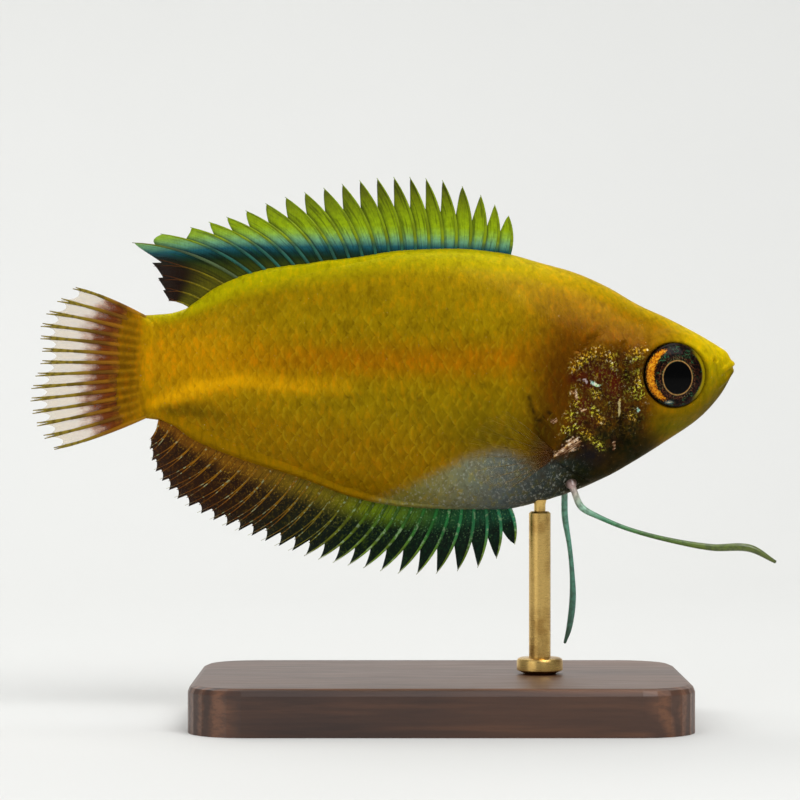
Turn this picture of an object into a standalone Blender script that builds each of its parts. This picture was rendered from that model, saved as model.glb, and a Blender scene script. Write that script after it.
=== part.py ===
"""A honey gourami of the golden form, life size, swimming level on a plain display stand.

The fish is laid out in its own millimetres: s runs back from the tip of the snout, h up from
the line through snout and tail, y out to its left. The head points along +X, +Z is up, and the
origin is the middle of the underside of the stand's base.
"""

import math

import bmesh
import bpy
import numpy as np
from mathutils import Matrix, Vector

MM = 0.001
GAP = 0.3

# Where the fish stands over the base, and how far its tail swings to the left.
SNOUT_X = 21.5
AXIS_Z = 26.2
BEND_START = 22.0
BEND_LENGTH = 30.0
TAIL_SWING = 2.2

# The body's lines at stations back from the snout: s, back, belly, half width.
BODY_STATIONS = (
    (0.0, 0.18, -0.80, 0.50),
    (0.4, 0.98, -1.60, 0.85),
    (0.9, 1.32, -2.40, 1.12),
    (2.5, 2.27, -4.12, 1.85),
    (4.7, 3.42, -5.64, 2.48),
    (7.0, 4.48, -7.10, 2.92),
    (9.2, 5.75, -8.35, 3.18),
    (11.5, 6.76, -9.35, 3.34),
    (14.0, 7.48, -10.15, 3.42),
    (17.0, 8.25, -10.75, 3.36),
    (20.5, 8.56, -10.75, 3.18),
    (24.0, 8.45, -10.50, 2.92),
    (28.0, 7.85, -9.65, 2.52),
    (32.0, 7.10, -8.15, 2.10),
    (36.0, 6.05, -6.80, 1.66),
    (39.5, 4.45, -5.35, 1.26),
    (41.5, 3.78, -4.30, 1.06),
    (44.0, 3.62, -3.95, 0.80),
)
WIDEST_LEVEL = ((0.0, -0.25), (5.0, -0.7), (10.0, -1.3), (16.0, -1.6), (30.0, -0.8), (44.0, -0.15))
SECTION_POWER = 0.6
SIDE_POINTS = 22

# The rear edge of the head, by the angle up from the widest level: degrees, s.
HEAD_EDGE = ((-90, 10.4), (-72, 11.0), (-56, 12.5), (-44, 13.2), (-30, 12.7), (-10, 12.0), (12, 11.3), (35, 11.2),
             (65, 11.8), (90, 12.3))
TRUNK_END = 39.5
TAIL_END = 43.1
TAIL_CROWN = 0.35
HEAD_RINGS = 28
HEAD_SPACING = 1.15
TRUNK_RINGS = 20
TAIL_RINGS = 5

# The eye, on the flank, turned a little forward.
EYE_S, EYE_H = 4.42, -0.83
EYE_RADIUS = 2.35
EYE_DOME = 0.8
EYE_BACK = 1.1
EYE_RIM_Y = 2.08
EYE_FORWARD = math.radians(14)
PUPIL_RADIUS = 1.12
PUPIL_STEP = 0.08
ORBIT_RISE = 0.28

# The mouth, nostrils and lips.
MOUTH_LINE = ((1.2, 1.22, -1.2), (0.62, 1.08, -0.8), (0.1, 0.62, -0.42), (-0.18, 0.0, -0.25))
MOUTH_GROOVE = 0.15
LIP_RADIUS = 0.3
LIP_CORNER_Y = 1.0
NOSTRILS = ((1.45, 0.2), (2.1, -1.1))
NOSTRIL_RADIUS = 0.3

# The gill cover, as a plate in the side of the head.
GILL_TOP, GILL_BOTTOM = 17, -54
GILL_LENGTH = 4.35
GILL_PLATE = 0.8
GILL_RISE = 0.2
GILL_CELLS = (9, 14)

# The fins: the thickness of ray and membrane, the width of a ray's foot, and the rows from root to edge.
MEMBRANE = 0.5
RAY = 0.88
RAY_FOOT = 0.24
RAY_REAR_REACH = 0.93
ROOT_EXTRA = 0.25
FIN_ROWS = (0.0, 0.25, 0.5, 0.72, 0.88, 1.0)
FIN_BOW = 0.07
FIN_WAVE, FIN_WAVE_LENGTH = 0.22, 13.0

# The two long fins on the midline: how many rays, their base from s to s, and at shares of the way
# along it how far a tip lies back and out from its root, and how deep the notch in front of it is.
DORSAL_RAYS = 25
DORSAL_BASE = (16.3, 40.3)
DORSAL_FORM = (
    (0.00, 0.15, 2.50, 0.07),
    (0.08, 0.20, 3.70, 0.48),
    (0.17, 1.05, 4.70, 0.46),
    (0.30, 1.66, 4.97, 0.42),
    (0.42, 2.45, 4.80, 0.36),
    (0.54, 3.60, 4.40, 0.30),
    (0.66, 4.90, 3.55, 0.27),
    (0.76, 5.75, 3.20, 0.24),
    (0.83, 8.00, 2.80, 0.26),
    (0.88, 5.40, 1.65, 0.12),
    (0.93, 3.70, 0.95, 0.10),
    (1.00, 1.30, 0.25, 0.08),
)
ANAL_RAYS = 29
ANAL_BASE = (16.2, 42.3)
ANAL_FORM = (
    (0.00, -0.20, 2.30, 0.07),
    (0.07, 0.65, 3.95, 0.42),
    (0.18, 2.40, 4.45, 0.40),
    (0.32, 3.70, 4.10, 0.33),
    (0.48, 4.25, 4.00, 0.25),
    (0.62, 4.45, 3.95, 0.19),
    (0.76, 4.40, 3.35, 0.15),
    (0.88, 3.30, 2.45, 0.13),
    (0.95, 2.00, 1.90, 0.12),
    (1.00, 0.70, 1.15, 0.12),
)

# The tail fin, its ray tips a little forked, and its rays' curve outwards.
CAUDAL_RAYS = 14
CAUDAL_ROOT = (3.5, -3.88)
CAUDAL_TIPS = (5.75, -6.35)
CAUDAL_LENGTH = 9.0
CAUDAL_CORNER_CUT = 2.6
CAUDAL_FORK = 0.9
CAUDAL_NOTCH = 0.3
CAUDAL_CURL = 0.7
CAUDAL_WAVE = 0.3
CAUDAL_ROOT_THICKNESS = 1.25

# The pectoral fins, folded half back from the flank.
PECTORAL_ROOT_S, PECTORAL_ANGLE = 13.75, -36
PECTORAL_RAYS = 9
PECTORAL_ROOT_WIDTH = 1.4
PECTORAL_LENGTH = 7.2
PECTORAL_FAN = (math.radians(30), math.radians(-34))
PECTORAL_LIFT = math.radians(40)
PECTORAL_RISE = math.radians(14)
PECTORAL_CUP = 1.5
PECTORAL_NOTCH = 0.07

# The thread of each pelvic fin: where it leaves the belly, then s, y out, h along it and its radius there.
THREAD_FOOT = 0.34
THREAD_RIGHT_FOOT = (11.9, -66)
THREAD_RIGHT = (
    (11.2, 1.75, -10.45, 0.29),
    (10.0, 2.05, -11.15, 0.26),
    (7.8, 2.4, -12.05, 0.25),
    (5.0, 2.75, -12.8, 0.26),
    (1.8, 3.05, -13.35, 0.31),
    (-0.9, 3.2, -13.4, 0.32),
    (-2.8, 3.3, -14.4, 0.25),
)
THREAD_LEFT_FOOT = (12.4, -66)
THREAD_LEFT = (
    (12.2, 1.85, -11.3, 0.29),
    (11.85, 2.0, -13.5, 0.26),
    (11.65, 2.1, -15.5, 0.27),
    (11.6, 2.2, -17.5, 0.31),
    (11.85, 2.1, -19.5, 0.29),
    (12.2, 2.0, -20.7, 0.25),
)
THREAD_SIDES = 2
THREAD_STEPS = 3

# The stand.
BASE_SIZE = (36.0, 24.0, 3.4)
BASE_CORNER = 4.0
BASE_EDGE = 0.5
ROD_RADIUS = 0.8
ROD_S = 14.15
COLLAR_RADIUS, COLLAR_HEIGHT = 1.7, 0.9
ROUND_SIDES = 32


def smooth(table, column=1):
    """A smooth curve through a table's rows that adds no bumps of its own between them."""
    x = np.array([row[0] for row in table], float)
    y = np.array([row[column] for row in table], float)
    step = np.diff(x)
    slope = np.diff(y) / step
    tangent = np.zeros(len(x))
    tangent[0], tangent[-1] = slope[0], slope[-1]
    for i in range(1, len(x) - 1):
        if slope[i - 1] * slope[i] > 0:
            before, after = 2 * step[i] + step[i - 1], step[i] + 2 * step[i - 1]
            tangent[i] = (before + after) / (before / slope[i - 1] + after / slope[i])

    def value(place):
        place = min(max(place, x[0]), x[-1])
        i = min(int(np.searchsorted(x, place, side="right")) - 1, len(x) - 2)
        t = (place - x[i]) / step[i]
        start = (1 + 2 * t) * (1 - t) ** 2 * y[i] + t * (1 - t) ** 2 * step[i] * tangent[i]
        end = t * t * (3 - 2 * t) * y[i + 1] + t * t * (t - 1) * step[i] * tangent[i + 1]
        return float(start + end)

    return value


back_line = smooth(BODY_STATIONS, 1)
belly_line = smooth(BODY_STATIONS, 2)
half_width = smooth(BODY_STATIONS, 3)
widest_level = smooth(WIDEST_LEVEL)
head_edge = smooth(HEAD_EDGE)


def bend(s):
    """How far the body's middle plane lies to the left at s."""
    return TAIL_SWING * (max(0.0, s - BEND_START) / BEND_LENGTH) ** 2


def at(s, y, h):
    """A point of the fish as a world position in metres."""
    return Vector((SNOUT_X - s, y + bend(s), AXIS_Z + h)) * MM


def body_height(s, degrees):
    """How high a point of the body's section lies, by its angle up from the widest level."""
    level = widest_level(s)
    rise = math.sin(math.radians(degrees))
    return level + rise * (back_line(s) - level if rise > 0 else level - belly_line(s))


def skin_point(s, degrees, side, out=0.0):
    """A point of the body's skin, side being 1 for left and -1 for right, moved out along its normal."""
    def bare(s_here, angle):
        width = half_width(s_here) * math.cos(math.radians(angle)) ** (2 * SECTION_POWER)
        return Vector((s_here, side * width, body_height(s_here, angle)))

    point = bare(s, degrees)
    if not out:
        return point
    along = bare(s + 0.05, degrees) - bare(s - 0.05, degrees)
    around = bare(s, min(degrees + 1, 90)) - bare(s, max(degrees - 1, -90))
    normal = along.cross(around).normalized()
    if normal.y * side < 0:
        normal.negate()
    return point + normal * out


def orbit_rise(s, h):
    """How far the skin rises round the eye, so that it comes up to the eye's rim."""
    distance = math.hypot(s - EYE_S, h - EYE_H)
    return ORBIT_RISE * math.exp(-(((distance - EYE_RADIUS - GAP) / 0.7) ** 2))


def material(name, colour, roughness=0.4, metallic=0.0):
    made = bpy.data.materials.new(name)
    made.use_nodes = True
    shader = made.node_tree.nodes["Principled BSDF"]
    shader.inputs["Base Color"].default_value = (*colour, 1.0)
    shader.inputs["Roughness"].default_value = roughness
    shader.inputs["Metallic"].default_value = metallic
    return made


def add_mesh(name, points, faces, finish, collection):
    """A closed mesh object from points in metres, its faces turned outwards."""
    mesh = bpy.data.meshes.new(name)
    mesh.from_pydata([tuple(p) for p in points], [], faces)
    shape = bmesh.new()
    shape.from_mesh(mesh)
    bmesh.ops.recalc_face_normals(shape, faces=shape.faces)
    shape.to_mesh(mesh)
    shape.free()
    mesh.shade_smooth()
    mesh.set_sharp_from_angle(angle=math.radians(40))
    mesh.materials.append(finish)
    made = bpy.data.objects.new(name, mesh)
    collection.objects.link(made)
    return made


def keep_largest(shape):
    """Drops every loose surface of the mesh but the one with the most points."""
    left, best = set(shape.verts), []
    while left:
        group, frontier = [], [left.pop()]
        while frontier:
            vertex = frontier.pop()
            group.append(vertex)
            for edge in vertex.link_edges:
                other = edge.other_vert(vertex)
                if other in left:
                    left.remove(other)
                    frontier.append(other)
        if len(group) > len(best):
            group, best = best, group
        bmesh.ops.delete(shape, geom=group, context="VERTS")


def baked(source, name, finish, collection):
    """The object's evaluated mesh as a plain mesh object in its place, and the source removed."""
    bpy.context.view_layer.update()
    graph = bpy.context.evaluated_depsgraph_get()
    mesh = bpy.data.meshes.new_from_object(source.evaluated_get(graph))
    shape = bmesh.new()
    shape.from_mesh(mesh)
    bmesh.ops.remove_doubles(shape, verts=shape.verts, dist=1e-7)
    keep_largest(shape)
    bmesh.ops.recalc_face_normals(shape, faces=shape.faces)
    shape.to_mesh(mesh)
    shape.free()
    mesh.name = name
    mesh.materials.clear()
    mesh.materials.append(finish)
    made = bpy.data.objects.new(name, mesh)
    made.matrix_world = source.matrix_world
    collection.objects.link(made)
    bpy.data.objects.remove(source)
    return made


def combine(target, helpers, operation):
    """Joins a collection's objects to target, or cuts them from it, and removes them."""
    step = target.modifiers.new(operation.title(), "BOOLEAN")
    step.operation = operation
    step.operand_type = "COLLECTION"
    step.collection = helpers
    name, finish, home = target.name, target.data.materials[0], target.users_collection[0]
    target.name = name + "_before"
    made = baked(target, name, finish, home)
    for helper in list(helpers.objects):
        bpy.data.objects.remove(helper)
    return made


def turned(name, profile, finish, collection):
    """A solid turned about its own z axis from a profile of (radius, height), top to bottom."""
    mesh = bpy.data.meshes.new(name)
    points = [(radius * MM, 0.0, height * MM) for radius, height in profile]
    mesh.from_pydata(points, [(i, i + 1) for i in range(len(points) - 1)], [])
    source = bpy.data.objects.new(name + "_profile", mesh)
    collection.objects.link(source)
    screw = source.modifiers.new("Turn", "SCREW")
    screw.steps = screw.render_steps = ROUND_SIDES
    screw.use_merge_vertices = True
    screw.merge_threshold = 1e-6
    made = baked(source, name, finish, collection)
    made.data.shade_smooth()
    made.data.set_sharp_from_angle(angle=math.radians(35))
    return made


def body_length(name, edge_front, edge_rear, rings, spacing, finish, collection, relief=None):
    """A length of the body between two edges, each a function of the angle round the section."""
    angles = [-90 + 180 * i / SIDE_POINTS for i in range(SIDE_POINTS + 1)]
    loop = [(a, -1) for a in angles] + [(a, 1) for a in reversed(angles[1:-1])]
    points = []
    for ring in range(rings + 1):
        share = (ring / rings) ** spacing
        for angle, side in loop:
            s = edge_front(angle) + share * (edge_rear(angle) - edge_front(angle))
            p = skin_point(s, angle, side)
            rise = relief(s, p.z) if relief and abs(angle) < 80 else 0.0
            p = skin_point(s, angle, side, rise)
            points.append(at(p.x, p.y, p.z))
    size = len(loop)
    faces = []
    for ring in range(rings):
        for i in range(size):
            j = (i + 1) % size
            start = ring * size
            faces.append((start + i, start + j, start + size + j, start + size + i))
    for start in (0, rings * size):
        faces.append((start, start + 1, start + size - 1))
        for i in range(1, SIDE_POINTS - 1):
            faces.append((start + i, start + i + 1, start + size - i - 1, start + size - i))
        faces.append((start + SIDE_POINTS - 1, start + SIDE_POINTS, start + SIDE_POINTS + 1))
    return add_mesh(name, points, faces, finish, collection)


def gill_shape(side, grow, inner, outer, past_edge):
    """Grid points of the gill cover's outline as a slab between two depths in the flank."""
    columns, rows = GILL_CELLS
    sheets = []
    for depth in (outer, inner):
        sheet = []
        for row in range(rows + 1):
            v = 0.5 - 0.5 * math.cos(math.pi * row / rows)
            angle = GILL_TOP + (GILL_BOTTOM - GILL_TOP) * v
            angle += math.degrees(grow / 8.0) * (1 - 2 * v)
            rounding = math.sqrt(1 - abs(2 * v - 1) ** 2.5)
            rear = head_edge(angle) - 1.3 * (1 - rounding) + past_edge
            front = head_edge(angle) - 1.7 - (GILL_LENGTH - 1.7) * rounding - grow
            for column in range(columns + 1):
                u = column / columns
                s = front + (rear - front) * u
                crown = GILL_RISE * math.sin(math.pi * min(1.0, 0.12 + 0.8 * u)) if depth > 0 else 0.0
                p = skin_point(s, angle, side, depth + crown)
                sheet.append(at(p.x, p.y, p.z))
        sheets.append(sheet)
    return sheets, columns + 1, rows + 1


def slab_faces(columns, rows):
    """Faces of a closed slab whose two sheets are alike grids, both split the same way."""
    size = columns * rows
    faces = []
    for row in range(rows - 1):
        for column in range(columns - 1):
            a = row * columns + column
            b, c, d = a + 1, a + columns + 1, a + columns
            faces += [(a, b, c), (a, c, d), (size + a, size + c, size + b), (size + a, size + d, size + c)]
    rim = [i for i in range(columns)]
    rim += [row * columns + columns - 1 for row in range(1, rows)]
    rim += [(rows - 1) * columns + i for i in range(columns - 2, -1, -1)]
    rim += [row * columns for row in range(rows - 2, 0, -1)]
    for i, a in enumerate(rim):
        b = rim[(i + 1) % len(rim)]
        faces += [(a, size + a, size + b), (a, size + b, b)]
    return faces


def gill_slab(name, side, grow, inner, outer, past_edge, finish, collection):
    sheets, columns, rows = gill_shape(side, grow, inner, outer, past_edge)
    return add_mesh(name, sheets[0] + sheets[1], slab_faces(columns, rows), finish, collection)


def eye_profile(grow):
    """The eye's profile about its own axis, from the middle of the cornea to the back."""
    radius, dome, depth = EYE_RADIUS + grow, EYE_DOME + grow, EYE_BACK + grow
    front = [(radius * math.sin(a), dome * math.cos(a)) for a in np.linspace(0, math.pi / 2, 8)]
    if not grow:
        pupil = dome * math.sqrt(1 - (PUPIL_RADIUS / radius) ** 2)
        front = [(0.0, dome), (PUPIL_RADIUS * 0.6, dome - 0.05), (PUPIL_RADIUS, pupil),
                 (PUPIL_RADIUS + 0.12, pupil - PUPIL_STEP)] + front[4:]
    rear = [(radius * math.cos(a), -depth * math.sin(a)) for a in np.linspace(0, math.pi / 2, 5)][1:]
    return front + rear


def eye_place(side):
    """The eye's place and turn: its own z axis looks out of the head, a little forward."""
    turn = Matrix.Rotation(-side * EYE_FORWARD, 4, "Z") @ Matrix.Rotation(-side * math.pi / 2, 4, "X")
    return Matrix.Translation(at(EYE_S, side * EYE_RIM_Y, EYE_H)) @ turn


def eye_solid(name, side, grow, finish, collection):
    made = turned(name, eye_profile(grow), finish, collection)
    made.matrix_world = eye_place(side)
    return made


def tube(name, route, finish, collection, closed_mesh=False, steps=THREAD_STEPS):
    """A tube through points of (s, y, h, radius)."""
    line = bpy.data.curves.new(name, "CURVE")
    line.dimensions = "3D"
    line.bevel_depth = MM
    line.bevel_resolution = THREAD_SIDES
    line.use_fill_caps = True
    line.resolution_u = steps
    spline = line.splines.new("NURBS")
    spline.points.add(len(route) - 1)
    for point, (s, y, h, radius) in zip(spline.points, route):
        point.co = (*at(s, y, h), 1.0)
        point.radius = radius
    spline.order_u = 3
    spline.use_endpoint_u = True
    line.materials.append(finish)
    made = bpy.data.objects.new(name, line)
    collection.objects.link(made)
    return baked(made, name, finish, collection) if closed_mesh else made


def both_sides(half):
    """A route over the snout from a route of (s, y, h) down one side to the midline."""
    return list(half) + [(s, -y, h) for s, y, h in reversed(half[:-1])]


def mouth_groove(collection, finish):
    """A thin tube along the line where the lips meet, from one corner of the mouth to the other."""
    route = [(s, y, h, MOUTH_GROOVE) for s, y, h in both_sides(MOUTH_LINE)]
    tube("mouth_groove", route, finish, collection, closed_mesh=True, steps=3)


def nostril_pits(collection, finish):
    for side in (-1, 1):
        for s, h in NOSTRILS:
            level = widest_level(s)
            share = (h - level) / (back_line(s) - level if h > level else level - belly_line(s))
            p = skin_point(s, math.degrees(math.asin(share)), side)
            bpy.ops.mesh.primitive_ico_sphere_add(subdivisions=2, radius=NOSTRIL_RADIUS * MM, location=at(*p))
            made = bpy.context.object
            for home in list(made.users_collection):
                home.objects.unlink(made)
            collection.objects.link(made)
            made.data.materials.append(finish)


def lips(collection, finish):
    upper = ((1.15, LIP_CORNER_Y, -0.78), (0.52, 0.82, -0.3), (0.16, 0.45, 0.0), (0.03, 0.0, 0.07))
    lower = ((1.2, LIP_CORNER_Y, -1.54), (0.55, 0.8, -1.16), (0.16, 0.45, -0.74), (0.04, 0.0, -0.6))
    for name, half in (("upper_lip", upper), ("lower_lip", lower)):
        route = [(s, y, h, LIP_RADIUS) for s, y, h in both_sides(half)]
        tube(name, route, finish, collection, closed_mesh=True)


def head(finish, collection, helpers):
    skull = body_length("head", lambda a: 0.0, head_edge, HEAD_RINGS, HEAD_SPACING, finish, collection, orbit_rise)
    lips(helpers, finish)
    skull = combine(skull, helpers, "UNION")
    mouth_groove(helpers, finish)
    nostril_pits(helpers, finish)
    for side, word in ((-1, "right"), (1, "left")):
        eye_solid("orbit_" + word, side, GAP, finish, helpers)
        gill_slab("gill_pocket_" + word, side, GAP, -GILL_PLATE - GAP, 1.5, 2.0, finish, helpers)
    return combine(skull, helpers, "DIFFERENCE")


def ray_table(base, count, form):
    """Each ray of a midline fin as (root s, back, out, notch)."""
    back, out, notch = (smooth(form, i) for i in (1, 2, 3))
    rays = []
    for k in range(count):
        share = k / (count - 1)
        rays.append((base[0] + share * (base[1] - base[0]), back(share), out(share), notch(share)))
    return rays


def midline_columns(rays, edge_line, up):
    """The fin's lines from root to edge in (s, h): up the front, the crest and the rear of each ray."""
    def along(ray, share, side):
        root_s, back, out, _ = ray
        length = math.hypot(back, out)
        bow = FIN_BOW * length * 4 * share * (1 - share)
        shift = side * RAY_FOOT * (1 - 0.7 * share)
        s = root_s + shift + back * share - bow * out / length
        return (s, edge_line(root_s + shift) + up * (GAP + out * share + bow * back / length))

    columns = []
    for k, ray in enumerate(rays):
        notch = 1 - ray[3] if k else RAY_REAR_REACH
        for side, reach in ((-1, notch), (0, 1.0), (1, RAY_REAR_REACH)):
            columns.append(([along(ray, t * reach, side) for t in FIN_ROWS], side == 0))
    return columns


def sheet_grid(columns, thickness_of, place):
    """Front and rear sheets of a fin from its lines."""
    front, rear = [], []
    for line, is_ray in columns:
        for t, (a, b) in zip(FIN_ROWS, line):
            middle, across = place(a, b, t)
            half = thickness_of(t, is_ray) / 2 * MM
            front.append(middle - across * half)
            rear.append(middle + across * half)
    return front + rear, slab_faces(len(FIN_ROWS), len(columns))


def fin_thickness(t, is_ray):
    """Thickness at a share t of the way out, swelling at the root into the flesh it grows from."""
    root = ROOT_EXTRA * max(0.0, 1 - t / 0.3)
    return root + (RAY * (1 - 0.5 * t) if is_ray else MEMBRANE * (1 - 0.3 * t))


def midline_fin(name, base, count, form, edge_line, up, finish, collection):
    rays = ray_table(base, count, form)
    columns = midline_columns(rays, edge_line, up)

    def place(s, h, t):
        wave = FIN_WAVE * t * math.sin(2 * math.pi * (s - base[0]) / FIN_WAVE_LENGTH)
        return at(s, wave, h), Vector((0, 1, 0))

    points, faces = sheet_grid(columns, fin_thickness, place)
    return add_mesh(name, points, faces, finish, collection)


def caudal_fin(finish, collection):
    """The fan of the tail: each ray's crest between two flanks, and the membrane's dip between rays."""
    gaps = CAUDAL_RAYS - 1
    columns = []
    for k in range(CAUDAL_RAYS):
        for shift, reach in ((-0.26, 0.94), (0.0, 1.0), (0.26, 0.94), (0.5, 1 - CAUDAL_NOTCH)):
            place_between = k + shift
            if not 0 <= place_between <= gaps:
                continue
            share = place_between / gaps
            spread = 2 * share - 1
            root_h = CAUDAL_ROOT[0] + share * (CAUDAL_ROOT[1] - CAUDAL_ROOT[0])
            tip_h = CAUDAL_TIPS[0] + share * (CAUDAL_TIPS[1] - CAUDAL_TIPS[0])
            root_s = TAIL_END + TAIL_CROWN * (1 - spread ** 2) + GAP
            length = CAUDAL_LENGTH - CAUDAL_CORNER_CUT * abs(spread - 0.1) ** 3
            length -= CAUDAL_FORK * math.exp(-((spread + 0.15) / 0.3) ** 2)
            line = []
            for t in FIN_ROWS:
                fan = t * reach
                curl = CAUDAL_CURL * spread * fan * (1 - fan)
                line.append((root_s + (TAIL_END + length - root_s) * fan,
                             root_h + (tip_h - root_h) * fan - curl))
            columns.append((line, shift == 0.0))

    def thickness(t, is_ray):
        fleshy = (CAUDAL_ROOT_THICKNESS - MEMBRANE) * max(0.0, 1 - t / 0.3) ** 2
        return fleshy + fin_thickness(t, is_ray) - ROOT_EXTRA * max(0.0, 1 - t / 0.3)

    def place(s, h, t):
        return at(s, CAUDAL_WAVE * t * math.sin(h / 2.2), h), Vector((0, 1, 0))

    points, faces = sheet_grid(columns, thickness, place)
    return add_mesh("caudal_fin", points, faces, finish, collection)


def pectoral_fin(name, side, finish, collection):
    """A cupped fan of rays that stands off the flank behind the gill cover, back, up and out."""
    foot = skin_point(PECTORAL_ROOT_S, PECTORAL_ANGLE, side)
    outward = (skin_point(PECTORAL_ROOT_S, PECTORAL_ANGLE, side, 1.0) - foot).normalized()
    rear = Vector((math.cos(PECTORAL_RISE), 0, math.sin(PECTORAL_RISE)))
    length_way = (rear * math.cos(PECTORAL_LIFT) + outward * math.sin(PECTORAL_LIFT)).normalized()
    normal = (outward - length_way * outward.dot(length_way)).normalized()
    width_way = normal.cross(length_way)
    if width_way.z < 0:
        width_way.negate()
    origin = foot + outward * (GAP + MEMBRANE / 2)
    columns = []
    for k in range(2 * PECTORAL_RAYS - 1):
        share = k / (2 * PECTORAL_RAYS - 2)
        is_ray = k % 2 == 0
        angle = PECTORAL_FAN[0] + share * (PECTORAL_FAN[1] - PECTORAL_FAN[0])
        reach = PECTORAL_LENGTH * (1 - 0.45 * abs(1.8 * share - 0.72) ** 2) * (1 if is_ray else 1 - PECTORAL_NOTCH)
        root_w = PECTORAL_ROOT_WIDTH * (0.5 - share)
        columns.append(([(reach * math.cos(angle) * t, root_w + reach * math.sin(angle) * t)
                         for t in FIN_ROWS], is_ray))

    def place(along, across, t):
        cup = PECTORAL_CUP * (along / PECTORAL_LENGTH) ** 2
        p = origin + length_way * along + width_way * across - normal * cup
        return at(*p), Vector((-normal.x, normal.y, normal.z))

    def thickness(t, is_ray):
        return fin_thickness(t, is_ray) * (0.85 if is_ray else 1.0)

    points, faces = sheet_grid(columns, thickness, place)
    return add_mesh(name, points, faces, finish, collection)


def thread(name, side, foot_s, foot_angle, route, finish, collection):
    """A pelvic fin's thread: it leaves the belly square to the skin and then follows its route."""
    start = [(*skin_point(foot_s, foot_angle, side, GAP + rise), THREAD_FOOT) for rise in (0.0, 0.45)]
    return tube(name, start + [(s, side * y, h, radius) for s, y, h, radius in route], finish, collection)


def stand(wood, metal, collection):
    """The base plate, and the rod in its collar up to the belly."""
    height = BASE_SIZE[2]
    shape = bmesh.new()
    bmesh.ops.create_cube(shape, size=1.0)
    bmesh.ops.scale(shape, vec=Vector(BASE_SIZE) * MM, verts=shape.verts)
    bmesh.ops.translate(shape, vec=(0, 0, height / 2 * MM), verts=shape.verts)
    upright = [e for e in shape.edges if abs(e.verts[0].co.z - e.verts[1].co.z) > height / 2 * MM]
    bmesh.ops.bevel(shape, geom=upright, offset=BASE_CORNER * MM, segments=6, affect="EDGES", profile=0.5)
    top = [e for e in shape.edges if min(v.co.z for v in e.verts) > height * 0.99 * MM]
    bmesh.ops.bevel(shape, geom=top, offset=BASE_EDGE * MM, segments=2, affect="EDGES", profile=0.5)
    mesh = bpy.data.meshes.new("stand_base")
    shape.to_mesh(mesh)
    shape.free()
    mesh.materials.append(wood)
    base = bpy.data.objects.new("stand_base", mesh)
    collection.objects.link(base)

    bottom = height + GAP
    top = AXIS_Z + min(belly_line(ROD_S - ROD_RADIUS), belly_line(ROD_S + ROD_RADIUS)) - GAP
    rod = turned("stand_rod", [
        (0.0, top), (ROD_RADIUS - 0.15, top), (ROD_RADIUS, top - 0.15), (ROD_RADIUS, bottom + COLLAR_HEIGHT + 0.1),
        (COLLAR_RADIUS - 0.25, bottom + COLLAR_HEIGHT), (COLLAR_RADIUS, bottom + COLLAR_HEIGHT - 0.25),
        (COLLAR_RADIUS, bottom), (0.0, bottom)], metal, collection)
    rod.location = Vector((SNOUT_X - ROD_S, 0, 0)) * MM
    return base, rod


def main():
    for old in list(bpy.data.objects):
        bpy.data.objects.remove(old)
    fish = bpy.data.collections.new("honey_gourami")
    helpers = bpy.data.collections.new("helpers")
    bpy.context.scene.collection.children.link(fish)
    bpy.context.scene.collection.children.link(helpers)

    skin = material("golden_skin", (0.62, 0.44, 0.02), 0.35)
    cheek = material("gill_cover_skin", (0.42, 0.28, 0.05), 0.3)
    ray_skin = material("fin_yellow_blue", (0.35, 0.5, 0.15), 0.35)
    anal_skin = material("fin_green_red", (0.2, 0.16, 0.05), 0.35)
    clear = material("fin_clear", (0.75, 0.7, 0.45), 0.2)
    strand = material("thread_green", (0.2, 0.6, 0.4), 0.4)
    eye = material("eye", (0.02, 0.02, 0.02), 0.05)
    wood = material("dark_wood", (0.12, 0.06, 0.03), 0.4)
    metal = material("brass", (0.7, 0.5, 0.22), 0.3, 1.0)

    head(skin, fish, helpers)
    body_length("trunk", lambda a: head_edge(a) + GAP, lambda a: TRUNK_END, TRUNK_RINGS, 1.0, skin, fish)
    body_length("tail_stem", lambda a: TRUNK_END + GAP, lambda a: TAIL_END + TAIL_CROWN * math.cos(math.radians(a)) ** 2,
                TAIL_RINGS, 1.0, skin, fish)
    for side, word in ((-1, "right"), (1, "left")):
        eye_solid("eye_" + word, side, 0.0, eye, fish)
        gill_slab("gill_cover_" + word, side, 0.0, -GILL_PLATE, 0.05, 0.0, cheek, fish)
        pectoral_fin("pectoral_fin_" + word, side, clear, fish)
    thread("pelvic_thread_right", -1, *THREAD_RIGHT_FOOT, THREAD_RIGHT, strand, fish)
    thread("pelvic_thread_left", 1, *THREAD_LEFT_FOOT, THREAD_LEFT, strand, fish)
    midline_fin("dorsal_fin", DORSAL_BASE, DORSAL_RAYS, DORSAL_FORM, back_line, 1, ray_skin, fish)
    midline_fin("anal_fin", ANAL_BASE, ANAL_RAYS, ANAL_FORM, belly_line, -1, anal_skin, fish)
    caudal_fin(clear, fish)
    stand(wood, metal, fish)
    bpy.data.collections.remove(helpers)


main()
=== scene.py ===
"""The looks of the honey gourami model: its golden skin and scales, eyes, fins and threads, on its stand.

The fish is laid out in its own millimetres, as in the CAD: s runs back from the tip of the snout, h up
from the line through snout and tail, y out to its left. Pieces are made in millimetres of the row frame
and turned into metres as the last step.
"""

import math

import bpy
import numpy as np
from mathutils import Matrix, Vector


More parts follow.
